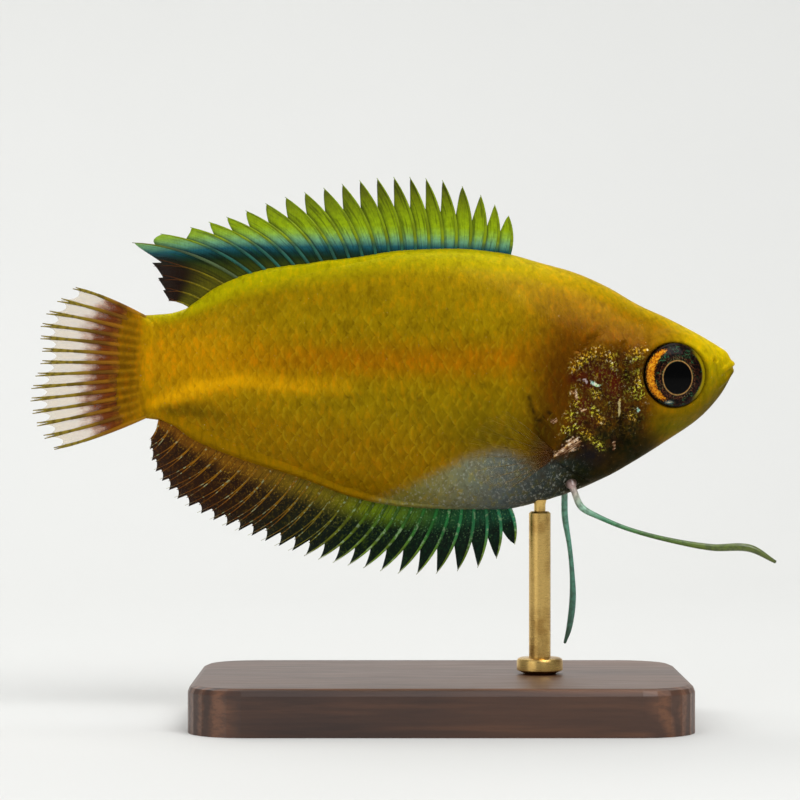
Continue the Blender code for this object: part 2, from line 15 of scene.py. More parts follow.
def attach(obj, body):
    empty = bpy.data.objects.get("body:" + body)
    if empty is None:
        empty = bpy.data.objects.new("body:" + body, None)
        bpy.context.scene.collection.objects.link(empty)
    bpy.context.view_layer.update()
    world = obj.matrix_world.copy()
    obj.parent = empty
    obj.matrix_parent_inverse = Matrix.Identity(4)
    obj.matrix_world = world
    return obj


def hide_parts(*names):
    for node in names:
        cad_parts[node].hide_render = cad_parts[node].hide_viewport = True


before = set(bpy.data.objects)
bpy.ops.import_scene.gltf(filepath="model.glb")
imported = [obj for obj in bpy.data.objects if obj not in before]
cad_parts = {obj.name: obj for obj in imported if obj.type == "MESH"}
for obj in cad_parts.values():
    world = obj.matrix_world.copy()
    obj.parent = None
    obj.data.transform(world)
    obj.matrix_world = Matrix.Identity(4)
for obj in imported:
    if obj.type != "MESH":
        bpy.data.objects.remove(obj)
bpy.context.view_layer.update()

MM = 0.001
SIDES = ((-1, "right"), (1, "left"))


# Curves

def smooth(table, column=1):
    """A smooth curve through a table's rows that adds no bumps between them, for numbers and arrays."""
    x = np.array([row[0] for row in table], float)
    y = np.array([row[column] for row in table], float)
    step = np.diff(x)
    slope = np.diff(y) / step
    tangent = np.zeros(len(x))
    tangent[0], tangent[-1] = slope[0], slope[-1]
    for i in range(1, len(x) - 1):
        if slope[i - 1] * slope[i] > 0:
            before, after = 2 * step[i] + step[i - 1], step[i] + 2 * step[i - 1]
            tangent[i] = (before + after) / (before / slope[i - 1] + after / slope[i])

    def value(where):
        where = np.clip(np.asarray(where, float), x[0], x[-1])
        i = np.clip(np.searchsorted(x, where, side="right") - 1, 0, len(x) - 2)
        t = (where - x[i]) / step[i]
        start = (1 + 2 * t) * (1 - t) ** 2 * y[i] + t * (1 - t) ** 2 * step[i] * tangent[i]
        end = t * t * (3 - 2 * t) * y[i + 1] + t * t * (t - 1) * step[i] * tangent[i + 1]
        return start + end

    return value


def ease(x, low, high):
    """0 at low, 1 at high and a soft step between them, whichever of the two is larger."""
    t = np.clip((x - low) / (high - low), 0, 1)
    return t * t * (3 - 2 * t)


def bell(x, width, power=2):
    """1 where x is 0, falling off softly over a width to both sides."""
    return np.exp(-((x / width) ** power))


def unit(v):
    return v / np.maximum(np.linalg.norm(v, axis=-1, keepdims=True), 1e-12)


def circle(count):
    """Angles once round a circle."""
    return np.linspace(0, 2 * math.pi, count, endpoint=False)


# Where the fish stands over the base, and how far its tail swings to the left.
SNOUT_X, AXIS_Z = 21.5, 26.2
BEND_START, BEND_LENGTH, TAIL_SWING = 22.0, 30.0, 2.2

# The body's lines at stations back from the snout: s, back, belly, half width.
BODY_STATIONS = (
    (0, 0.18, -0.8, 0.5), (0.4, 0.98, -1.6, 0.85), (0.9, 1.32, -2.4, 1.12), (2.5, 2.27, -4.12, 1.85),
    (4.7, 3.42, -5.64, 2.48), (7, 4.48, -7.1, 2.92), (9.2, 5.75, -8.35, 3.18), (11.5, 6.76, -9.35, 3.34),
    (14, 7.48, -10.15, 3.42), (17, 8.25, -10.75, 3.36), (20.5, 8.56, -10.75, 3.18), (24, 8.45, -10.5, 2.92),
    (28, 7.85, -9.65, 2.52), (32, 7.1, -8.15, 2.1), (36, 6.05, -6.8, 1.66), (39.5, 4.45, -5.35, 1.26),
    (41.5, 3.78, -4.3, 1.06), (44, 3.62, -3.95, 0.8),
)
back_line, belly_line, half_width = (smooth(BODY_STATIONS, column) for column in (1, 2, 3))
widest_level = smooth(((0, -0.25), (5, -0.7), (10, -1.3), (16, -1.6), (30, -0.8), (44, -0.15)))
SECTION_POWER = 1.2
TAIL_END, TAIL_CROWN = 43.1, 0.35

# How deep the skin lies inside the CAD's, under the scales, and the cell of its voxel mesh.
SKIN_DEPTH, SKIN_CELL = 0.07, 0.12

# The eye, on the flank, turned a little forward; its socket, and the orbit that rises round it.
EYE_S, EYE_H, EYE_RIM_Y = 4.42, -0.83, 2.08
EYE_RADIUS, EYE_DOME, EYE_BACK = 2.35, 0.8, 0.7
EYE_FORWARD = math.radians(14)
SOCKET_DEPTH, SOCKET_WALL, SOCKET_LIP = 0.75, 0.42, 0.5
ORBIT_RISE, ORBIT_DISTANCE = 0.28, 2.65

# The lips, the line where they meet, the nostrils, and a fold behind the lips.
LIP_RADIUS = 0.24
UPPER_LIP = ((1.15, 1, -0.78), (0.52, 0.82, -0.32), (0.16, 0.45, -0.05), (0, 0, 0))
LOWER_LIP = ((1.2, 0.95, -1.54), (0.58, 0.75, -1.12), (0.2, 0.4, -0.64), (0.06, 0, -0.46))
MOUTH_LINE = ((1.2, 1.22, -1.2), (0.62, 1.08, -0.76), (0.1, 0.62, -0.38), (-0.16, 0, -0.23))
NOSTRILS = ((1.45, 0.2), (2.1, -1.1))
LIP_FOLD = ((0.75, 0.9), (0.85, -0.1), (1.05, -1))

# The rear edge of the gill cover, as s at each h, and the bend of the plate in front of it.
gill_edge = smooth((
    (-8.7, 10.4), (-7.9, 11.8), (-7.2, 12.9), (-6.8, 13.4), (-5.8, 12.95), (-4.6, 12.45),
    (-3.2, 12.1), (-1.6, 11.75), (-0.6, 11.95), (0.4, 11.7), (1.5, 10.6), (2.6, 9.2),
))
GILL_RISE, GILL_GROOVE = 0.2, 0.17
CHEEK_BEND = ((8.2, 1.4), (8.5, -1), (8.45, -3.5), (8.15, -5.6), (7.2, -6.6))

# The two long fins: rays, spines among them, base from s to s, at shares along it how far a tip lies back and
# out from its root, and how deep the notch in front of a ray is.
DORSAL_RAYS, DORSAL_SPINES, DORSAL_BASE = 25, 21, (16.3, 40.3)
DORSAL_FORM = (
    (0, 0.15, 2.5), (0.08, 0.2, 3.7), (0.17, 1.05, 4.7), (0.3, 1.66, 4.97), (0.42, 2.45, 4.8),
    (0.54, 3.6, 4.4), (0.66, 4.9, 3.55), (0.76, 5.75, 3.2), (0.83, 8, 2.8), (0.88, 5.4, 1.65),
    (0.93, 3.7, 0.95), (1, 1.3, 0.25),
)
dorsal_notch = smooth((
    (0, 0.7), (0.08, 0.68), (0.17, 0.62), (0.3, 0.52), (0.45, 0.42), (0.6, 0.34), (0.76, 0.28), (0.84, 0.2),
    (0.9, 0.12), (1, 0.08),
))
ANAL_RAYS, ANAL_SPINES, ANAL_BASE = 29, 13, (16.2, 42.3)
ANAL_FORM = (
    (0, -0.2, 2.3), (0.07, 0.65, 3.95), (0.18, 2.4, 4.45), (0.32, 3.7, 4.1), (0.48, 4.25, 4),
    (0.62, 4.45, 3.95), (0.76, 4.4, 3.35), (0.88, 3.3, 2.45), (0.95, 2, 1.9), (1, 0.7, 1.15),
)
anal_notch = smooth((
    (0, 0.75), (0.07, 0.62), (0.18, 0.5), (0.32, 0.38), (0.48, 0.27), (0.62, 0.2), (0.8, 0.15), (1, 0.12),
))
FIN_GAP, FIN_BOW, FIN_WAVE, FIN_WAVE_LENGTH = 0.3, 0.07, 0.22, 13.0
# The level of the dorsal fin's blue band at s.
blue_band = smooth(((15, 8.1), (20, 8.5), (26, 8.65), (36, 8.6), (41, 8.3), (44, 8.1)))

# The tail fin: the levels of its top and lowest ray at root and tip, its length, and how its rays bend.
CAUDAL_RAYS = 14
CAUDAL_ROOT, CAUDAL_TIPS = (3.5, -3.88), (5.75, -6.35)
CAUDAL_LENGTH, CAUDAL_CORNER_CUT, CAUDAL_FORK = 9.0, 2.6, 0.9
CAUDAL_CURL, CAUDAL_WAVE = 0.7, 0.3
# The flesh at its root: the share of the rays that it covers, and how much further it reaches along each ray.
TAIL_ROOT_REACH, TAIL_FINGERS = 0.2, 0.05

# The pectoral fins, folded half back from the flank: the root as s and degrees, and the fan of rays.
PECTORAL_ROOT, PECTORAL_ROOT_WIDTH = (13.75, -36), 1.4
PECTORAL_RAYS, PECTORAL_LENGTH, PECTORAL_CUP = 9, 7.2, 1.5
PECTORAL_FAN = (math.radians(30), math.radians(-34))
PECTORAL_LIFT, PECTORAL_RISE = math.radians(40), math.radians(14)

# The thread of each pelvic fin: its foot on the belly as s and degrees, then s, y out, h along it and its
# radius, and its colours from foot to tip.
THREADS = {
    "right": ((11.9, -66), (
        (11.2, 1.75, -10.45, 0.25), (10, 2.05, -11.15, 0.19), (7.8, 2.4, -12.05, 0.16),
        (5, 2.75, -12.8, 0.18), (1.8, 3.05, -13.35, 0.25), (-0.9, 3.2, -13.4, 0.28), (-2.8, 3.3, -14.4, 0.12),
    ), (
        (0, 58, 56, 44), (0.025, 96, 70, 62), (0.05, 206, 176, 168), (0.14, 150, 196, 166),
        (0.25, 66, 140, 98), (0.42, 72, 118, 40), (0.65, 92, 112, 22), (1, 84, 96, 20),
    )),
    "left": ((12.4, -66), (
        (12.2, 1.85, -11.3, 0.24), (11.85, 2, -13.5, 0.18), (11.65, 2.1, -15.5, 0.19),
        (11.6, 2.2, -17.5, 0.25), (11.85, 2.1, -19.5, 0.22), (12.2, 2, -20.7, 0.1),
    ), (
        (0, 60, 60, 48), (0.06, 150, 178, 158), (0.15, 110, 178, 150), (0.6, 70, 136, 112), (1, 52, 92, 72),
    )),
}
# The heights over the skin through which a thread's foot runs, and its radii there.
THREAD_FOOT = ((-0.35, 0.52), (0.08, 0.4), (0.35, 0.27), (0.7, 0.24))

# The rod: its place, and its heights and radii from the collar up to the pin that the belly sits on.
ROD_S = 14.15
ROD_PROFILE = (
    (3.7, 1.7), (4.35, 1.7), (4.52, 1.62), (4.6, 1.45), (4.601, 0.8), (15.22, 0.8), (15.36, 0.65),
    (15.361, 0.42), (15.85, 0.42), (16.2, 0.5),
)

# Faces that meet at more than this angle keep a sharp edge.
SHARP = math.radians(35)

# Scales: their pitch along the body and the height of a row at s, then the form of one. None grows as near
# the eye's middle as BARE_AROUND_EYE.
scale_pitch = smooth((
    (0, 0.5), (6, 0.52), (9, 0.62), (12, 0.8), (15, 0.94), (32, 0.98), (38, 0.85), (44, 0.62),
))
scale_row = smooth((
    (0, 0.42), (6, 0.43), (9, 0.5), (12, 0.62), (16, 0.76), (30, 0.78), (36, 0.68), (44, 0.5),
))
SCALE_LENGTH, SCALE_WIDTH, SCALE_THICKNESS = 1.75, 1.12, 0.05
SCALE_SINK, SCALE_LIFT, BARE_AROUND_EYE = -0.03, 0.044, 3.15
SCALE_ALONG = (0.0, 0.35, 0.62, 0.8, 0.92, 1.0)
SCALE_ACROSS = (-1.0, -0.75, -0.4, 0.0, 0.4, 0.75, 1.0)
# The part of the flank that the scales' UV map covers, and the size of one scale's patch on it.
MAP_START, MAP_SPAN, MAP_PATCH = (2.0, -13.0), (46.0, 26.0), 0.003

# The camera: level, from the fish's right, with the photograph's framing.
VIEW_MIDDLE, VIEW_SPAN = (-2.94, 23.55), 58.9
LENS, SENSOR = 135.0, 36.0


# Places on the fish

def bend(s):
    return TAIL_SWING * (np.maximum(0.0, np.asarray(s, float) - BEND_START) / BEND_LENGTH) ** 2


def place(p):
    """Points (s, y, h) of the fish, in mm, as points of the row frame, in mm."""
    p = np.asarray(p, float)
    return np.stack([SNOUT_X - p[..., 0], p[..., 1] + bend(p[..., 0]), AXIS_Z + p[..., 2]], -1)


def fish_place(p):
    """The other way: (s, y, h) of points of the row frame, all in mm."""
    s = SNOUT_X - p[..., 0]
    return np.stack([s, p[..., 1] - bend(s), p[..., 2] - AXIS_Z], -1)


def bare_skin(s, degrees, side):
    """The CAD's skin at s and an angle up from the widest level, side being 1 for left and -1 for right."""
    s, degrees = np.broadcast_arrays(np.asarray(s, float), np.asarray(degrees, float))
    level = widest_level(s)
    rise = np.sin(np.radians(degrees))
    h = level + rise * np.where(rise > 0, back_line(s) - level, level - belly_line(s))
    y = side * half_width(s) * np.maximum(np.cos(np.radians(degrees)), 0) ** SECTION_POWER
    return np.stack([s, y, h], -1)


def skin_normal(s, degrees, side):
    along = bare_skin(s + 0.05, degrees, side) - bare_skin(s - 0.05, degrees, side)
    up, down = np.minimum(degrees + 1, 90), np.maximum(degrees - 1, -90)
    around = bare_skin(s, up, side) - bare_skin(s, down, side)
    normal = unit(np.cross(along, around))
    return normal * np.where(normal[..., 1] * side < 0, -1, 1)[..., None]


def line_distance(p, points):
    """Distance of places p to a line through points, in two or three dimensions."""
    best = np.full(p.shape[:-1], 1e9)
    points = np.asarray(points, float)
    for a, b in zip(points[:-1], points[1:]):
        t = np.clip(((p - a) @ (b - a)) / ((b - a) @ (b - a)), 0, 1)
        best = np.minimum(best, np.linalg.norm(p - a - t[..., None] * (b - a), axis=-1))
    return best


def caudal_reach(along):
    """Where a ray of the tail fin starts and ends; along is 0 at the top ray and 1 at the lowest."""
    spread = 2 * along - 1
    root = TAIL_END + TAIL_CROWN * (1 - spread ** 2) + FIN_GAP
    length = CAUDAL_LENGTH - CAUDAL_CORNER_CUT * np.abs(spread - 0.1) ** 3
    return root, TAIL_END + length - CAUDAL_FORK * bell(spread + 0.15, 0.3)


def caudal_level(along, t):
    """How high a ray of the tail fin lies at a share t of its length."""
    root = CAUDAL_ROOT[0] + along * (CAUDAL_ROOT[1] - CAUDAL_ROOT[0])
    tip = CAUDAL_TIPS[0] + along * (CAUDAL_TIPS[1] - CAUDAL_TIPS[0])
    return root + (tip - root) * t - CAUDAL_CURL * (2 * along - 1) * t * (1 - t)


def root_waves(s, h):
    """A wave across the tail fin's rays, 1 on each ray and -1 midway between two."""
    along = (CAUDAL_ROOT[0] - h) / (CAUDAL_ROOT[0] - CAUDAL_ROOT[1])
    for _ in range(4):
        root, tip = caudal_reach(np.clip(along, 0, 1))
        t = np.maximum(0, (s - root) / (tip - root))
        top, foot = caudal_level(0.0, t), caudal_level(1.0, t)
        along = (top - h) / (top - foot)
    return np.cos(2 * math.pi * (CAUDAL_RAYS - 1) * along)


def relief(s, h):
    """How far the skin stands out or in from the CAD's plain skin: orbit, gill cover, folds, tail root."""
    flank = np.stack(np.broadcast_arrays(np.asarray(s, float), np.asarray(h, float)), -1)
    rise = ORBIT_RISE * bell(np.hypot(s - EYE_S, h - EYE_H) - ORBIT_DISTANCE, 0.7)
    inside = gill_edge(h) - s
    shown = ease(h, -8.8, -7.9) * (1 - ease(h, 1.4, 2.6))
    rise += shown * GILL_RISE * ease(inside, -0.02, 0.12) * np.exp(-np.maximum(inside, 0) / 3.2)
    rise -= shown * GILL_GROOVE * bell(inside + 0.14, 0.14)
    cheek = line_distance(flank, CHEEK_BEND)
    rise -= 0.06 * bell(cheek, 0.2)
    rise += 0.03 * bell(cheek - 0.4, 0.25)
    fold = line_distance(flank, LIP_FOLD)
    rise += 0.03 * bell(fold, 0.2)
    rise -= 0.05 * bell(fold - 0.42, 0.16) * ease(s, 0.9, 1.2)
    rise += 0.14 * bell(line_distance(flank, PINK_FLAP), 0.3, 4)
    return rise + 0.05 * root_waves(s, h) * ease(s, 43.4, 44.4)


# Meshes

class Shape:
    """Gathers points in mm, faces, and named values of each point, and makes one piece of them."""

    def __init__(self):
        self.points, self.quads, self.triangles = [], [], []
        self.values, self.maps, self.count = {}, [], 0

    def add(self, points, quads=(), triangles=(), patch=None, **values):
        points = np.asarray(points, float).reshape(-1, 3)
        for faces, kept, size in ((quads, self.quads, 4), (triangles, self.triangles, 3)):
            if len(faces):
                kept.append(np.asarray(faces, int).reshape(-1, size) + self.count)
        for name in set(values) | set(self.values):
            column = np.zeros(len(points)) + np.asarray(values.get(name, 0.0), float).reshape(-1)
            self.values.setdefault(name, [np.zeros(self.count)] if self.count else []).append(column)
        self.points.append(points)
        if patch is not None:
            self.maps.append(patch)
        self.count += len(points)

    def mesh(self, name):
        points = np.concatenate(self.points) * MM
        faces = [f for kept in (self.quads, self.triangles) for part in kept for f in part.tolist()]
        made = bpy.data.meshes.new(name)
        made.from_pydata(points.tolist(), [], faces)
        for key, columns in self.values.items():
            store(made, key, np.concatenate(columns))
        if self.maps:
            corner = np.zeros(len(made.loops), int)
            made.loops.foreach_get("vertex_index", corner)
            layer = made.uv_layers.new(name="OFBake")
            layer.data.foreach_set("uv", np.concatenate(self.maps)[corner].ravel())
        made.shade_smooth()
        return made

    def piece(self, name, finish, slot, replaces):
        return dress(add_object(name, self.mesh(name)), finish, replaces)


def add_object(name, data):
    made = bpy.data.objects.new(name, data)
    bpy.context.scene.collection.objects.link(made)
    return made


def store(mesh, name, values):
    """A named value of each point, which the material reads."""
    mesh.attributes.new(name, "FLOAT", "POINT").data.foreach_set("value", np.asarray(values, np.float32))


def read(values, key):
    """The points or normals of a mesh as rows of three."""
    rows = np.zeros(len(values) * 3)
    values.foreach_get(key, rows)
    return rows.reshape(-1, 3)


def dress(piece, finish, replaces=()):
    piece.data.materials.clear()
    piece.data.materials.append(finish)
    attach(piece, "root")
    if replaces:
        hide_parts(*replaces)
    return piece


def grid(rows, columns, closed=False):
    """Faces between rows of points, each row a line of columns points, or a ring of them."""
    index = np.arange(rows * columns).reshape(rows, columns)
    around = columns if closed else columns - 1
    a = index[:-1, :around].ravel()
    b = np.roll(index, -1, axis=1)[:-1, :around].ravel()
    return np.stack([a, b, b + columns, a + columns], -1)


def pointed(rings, size):
    """Faces of a closed row of rings: quads between them, and fans to the two points that follow them."""
    tip = rings * size
    start = tip - size
    fans = [(tip, (i + 1) % size, i) for i in range(size)]
    fans += [(tip + 1, start + i, start + (i + 1) % size) for i in range(size)]
    return grid(rings, size, True), fans


def blunt(rings, size):
    """Faces of a closed row of rings: quads between them, and a fan across the first and the last."""
    start = (rings - 1) * size
    fans = [(0, i + 1, i) for i in range(1, size - 1)]
    return grid(rings, size, True), fans + [(start, start + i, start + i + 1) for i in range(1, size - 1)]


def slab(rows, columns):
    """Faces of a closed slab whose two sheets are grids alike, one after the other."""
    size = rows * columns
    index = np.arange(size).reshape(rows, columns)
    rim = np.concatenate([index[0], index[1:, -1], index[-1, -2::-1], index[-2:0:-1, 0]])
    after = np.roll(rim, -1)
    edge = np.stack([rim, after, after + size, rim + size], -1)
    sheet = grid(rows, columns)
    return np.concatenate([sheet[:, ::-1], sheet + size, edge])


def tube(points, radii, sides=8, across=(0, 1, 0)):
    """Points and faces of a closed tube along a line of points, and how far along each point lies."""
    points = np.asarray(points, float)
    radii = np.broadcast_to(np.asarray(radii, float), len(points))
    way = unit(np.gradient(points, axis=0))
    first = unit(np.cross(way, np.asarray(across, float)))
    second = np.cross(way, first)
    turn = circle(sides)[:, None]
    ring = np.cos(turn) * first[:, None] + np.sin(turn) * second[:, None]
    body = (points[:, None] + ring * radii[:, None, None]).reshape(-1, 3)
    ends = np.stack([points[0] - way[0] * radii[0] * 0.5, points[-1] + way[-1] * radii[-1] * 0.5])
    share = np.append(np.repeat(np.linspace(0, 1, len(points)), sides), [0, 1])
    return np.concatenate([body, ends]), *pointed(len(points), sides), share


def curve_through(points, count):
    """A smooth line of count points through a few points, each row with any further values."""
    points = np.asarray(points, float)
    step = np.linalg.norm(np.diff(points[:, :3], axis=0), axis=1)
    where = np.concatenate([[0], np.cumsum(step)])
    t = np.linspace(0, where[-1], count)
    padded = np.concatenate([[2 * points[0] - points[1]], points, [2 * points[-1] - points[-2]]])
    before = np.concatenate([[-step[0]], where, [where[-1] + step[-1]]])
    i = np.clip(np.searchsorted(where, t, side="right") - 1, 0, len(points) - 2)
    u = ((t - where[i]) / step[i])[:, None]
    p0, p1, p2, p3 = (padded[i + k] for k in range(4))
    t0, t1, t2, t3 = (before[i + k][:, None] for k in range(4))
    m1 = (p2 - p0) / (t2 - t0) * (t2 - t1)
    m2 = (p3 - p1) / (t3 - t1) * (t2 - t1)
    return ((2 * u ** 3 - 3 * u ** 2 + 1) * p1 + (u ** 3 - 2 * u ** 2 + u) * m1
            + (3 * u ** 2 - 2 * u ** 3) * p2 + (u ** 3 - u ** 2) * m2)


# The fish's markings and some painted shade, as masks of its skin from places on its flank: lines with their
# widths, spots with their reach along and up.

band_level = smooth(((10, 0.9), (14, 0.6), (20, 0.2), (34, 0.3), (43, 0.1)))
silver_top = smooth((
    (9, -7.6), (10.6, -6.6), (12.7, -6.7), (14.2, -7.2), (17.1, -6.5), (19.3, -6.9), (21.5, -8),
    (24.5, -9.4), (28, -10.8), (34, -12),
))
GOLD_STREAK = (
    (42.3, -3), (41.4, -2.5), (39.9, -1.95), (38.5, -1.5), (37, -1.25), (35.5, -1.25), (33, -1.55),
    (28.5, -1.7),
)
DARK_WEDGE = ((41.9, -3.4), (39.9, -3.4), (38.4, -3.7), (36.3, -4.2))
FLECK_LINES = (
    (((11.96, -0.37), (11.1, 0.44), (10.1, 1.03), (9.1, 0.44), (9, 0.05)), 0.3),
    (((11.67, -1.9), (11.6, -2.5), (11.8, -3.2), (12.35, -4.2), (12.45, -5)), 0.26),
    (((11.78, -4.6), (11.1, -5), (10.3, -5.6), (9.8, -6.1)), 0.24),
    (((10.25, -2), (10.2, -2.4)), 0.22), (((10.5, -3.4), (9.8, -4.2)), 0.25),
    (((7.1, -0.9), (6.9, -1.6), (7.5, -2.05), (6.7, -2.5)), 0.26),
    (((7.65, -3.75), (7.55, -3.9)), 0.22), (((7.6, 0.6), (6.6, 0.9)), 0.3),
)
BRIGHT_LINE = ((8.46, -1.9), (8.46, -3), (8.52, -3.8))
PINK_FLAP = ((11.75, -5.75), (12.5, -6.15), (13.3, -6.62))
PINK_LINES = (
    (((8.9, -5.75), (8.85, -6.2)), 0.12), (((13.45, -4.2), (13.1, -4.1)), 0.13),
    (((11.75, -2), (11.65, -2.6)), 0.12), (((11.3, -3.35), (10.9, -3.5)), 0.13),
)
LILAC_LINES = ((((11.08, -1.22), (10.88, -1.34)), 0.16),)
PALE_LINES = ((((10.55, -1.35), (10, -1.7)), 0.15), (((7.2, -3.35), (7.1, -3.4)), 0.15))
MAROON_SPOTS = (
    (9.85, -0.7, 0.85, 0.6), (11.2, -0.9, 0.5, 0.4), (10.8, -1.75, 0.4, 0.35), (11.1, -2.9, 0.45, 0.55),
    (8.9, -1.6, 0.5, 0.9), (11, -4.15, 0.75, 0.4), (11.9, -1.1, 0.35, 0.4),
)
DARK_LINES = (
    (((8.35, -3.9), (8.3, -5.7)), 0.26),
    (((15.15, -2.3), (14.75, -3.6), (14.45, -4.25)), 0.1),
    (((14.45, -4.25), (14.4, -5.4), (14.9, -6.3)), 0.1),
    (((13.5, -3.5), (14.1, -3.95), (14.45, -4.25)), 0.09),
)
DARK_SPOTS = ((7.95, -1.05, 0.28, 0.3), (10.9, -4.3, 0.5, 0.25), (7, -4.1, 0.4, 0.25))
DOT_REACH = (0.2, 0.13)
FLANK_DOTS = (
    (22.3, -2.1), (23.1, -2.5), (24.2, -2.25), (25.3, -2.6), (27.4, -2.3), (28.1, -2.5), (17.3, -2),
    (18.4, -1.6),
)


def blob(x, y, middle_x, middle_y, reach_x, reach_y):
    """1 at a middle, falling off softly round it."""
    return np.exp(-((x - middle_x) / reach_x) ** 2 - ((y - middle_y) / reach_y) ** 2)


def markings(s, h):
    """Each marking's and painted shade's strength at places on the flank, the same for skin and scales."""
    flank = np.stack([s, h], -1)
    level = widest_level(s)
    reach = np.where(h > level, back_line(s) - level, level - belly_line(s))
    rise = (h - level) / np.maximum(reach, 0.1)
    in_front = ease(gill_edge(h) - s, -0.1, 0.35)
    on_head = ease(s, 5.2, 7.2) * (1 - ease(s, 12, 15.5))
    cheek = ease(s, 5.4, 7.6) * in_front * ease(h, -7.6, -6) * (1 - ease(h, 0.2, 1.8))

    def stroke(points, width):
        return bell(line_distance(flank, points), width)

    def strokes(table):
        return [stroke(*row) for row in table]

    def spot(*row):
        return blob(s, h, *row)

    def strongest(parts):
        return np.max(np.stack(parts), axis=0)

    return {
        "rise": rise,
        "back": ease(rise, 0.74 - 0.12 * ease(s, 6, 3), 1) * (1 - ease(s, 42, 44.5)),
        "snout": 1 - ease(s, 1.6, 5.6),
        "nape": 1 - ease(s, 11, 19),
        "ember": on_head * ease(rise, 0.85, 0.4) + 0.6 * spot(2, 1, 0.75, 0.4),
        "olive": spot(17.8, -5.2, 3.4, 1.9),
        # Brown behind the gill cover at the pectoral fin's root, partly painted shade of the fin.
        "brown": spot(13.9, -5, 1.3, 1.9) * (1 - in_front),
        "tail_glow": spot(41, 0.3, 6.5, 2.9),
        "root": ease(s, 42.9, 45.3),
        "root_ray": 0.5 + 0.5 * root_waves(s, h),
        "band": bell(h - band_level(s), 1.3) * ease(s, 10.5, 13.5) * (1 - 0.4 * ease(s, 30, 40)),
        "gill_shade": spot(12.8, -1.6, 2.3, 3.6) * (1 - in_front),
        "streak": stroke(GOLD_STREAK, 0.62) * (0.3 + 0.4 * ease(s, 28, 34) + 0.3 * ease(s, 35, 38.5)),
        "wedge": stroke(DARK_WEDGE, 0.55) * ease(s, 35, 39),
        "silver": (1 - ease(h, silver_top(s) - 0.5, silver_top(s) + 0.7)) * ease(s, 9.4, 11),
        "silver_place": np.clip((s - 11) / 13, 0, 1),
        # The dark throat: partly its own grey-green, partly painted shade under the head.
        "throat": (1 - ease(rise, -0.95, -0.4)) * (1 - ease(s, 11.4, 13.4)) * ease(s, 4, 6.5),
        "jaw": spot(4.4, -4.6, 2.6, 1.2) * ease(s, 1.6, 3.2) * ease(s, 6.8, 5.4),
        "violet": spot(10.5, -6.7, 1.1, 0.75),
        "cheek": cheek,
        "fleck": strongest(strokes(FLECK_LINES)) + 0.12 * cheek * ease(h, -6, -3),
        "bright_line": stroke(BRIGHT_LINE, 0.06) * (0.35 + 0.65 * ease(h, -2.4, -3)),
        "pink": strongest([stroke(PINK_FLAP, 0.46 - 0.34 * ease(s, 11.9, 13.2)), *strokes(PINK_LINES)]),
        "lilac": strongest(strokes(LILAC_LINES)),
        "pale": strongest(strokes(PALE_LINES)),
        "maroon": strongest([spot(*row) for row in MAROON_SPOTS]),
        "dark": strongest(strokes(DARK_LINES) + [spot(*row) for row in DARK_SPOTS]
                          + [0.6 * spot(*middle, *DOT_REACH) for middle in FLANK_DOTS]),
    }


# Materials

def tint(*rgb):
    """A display colour of 0 to 255 a channel as the linear colour that nodes take."""
    shares = [channel / 255 for channel in rgb]
    return (*(c / 12.92 if c <= 0.04045 else ((c + 0.055) / 1.055) ** 2.4 for c in shares), 1.0)


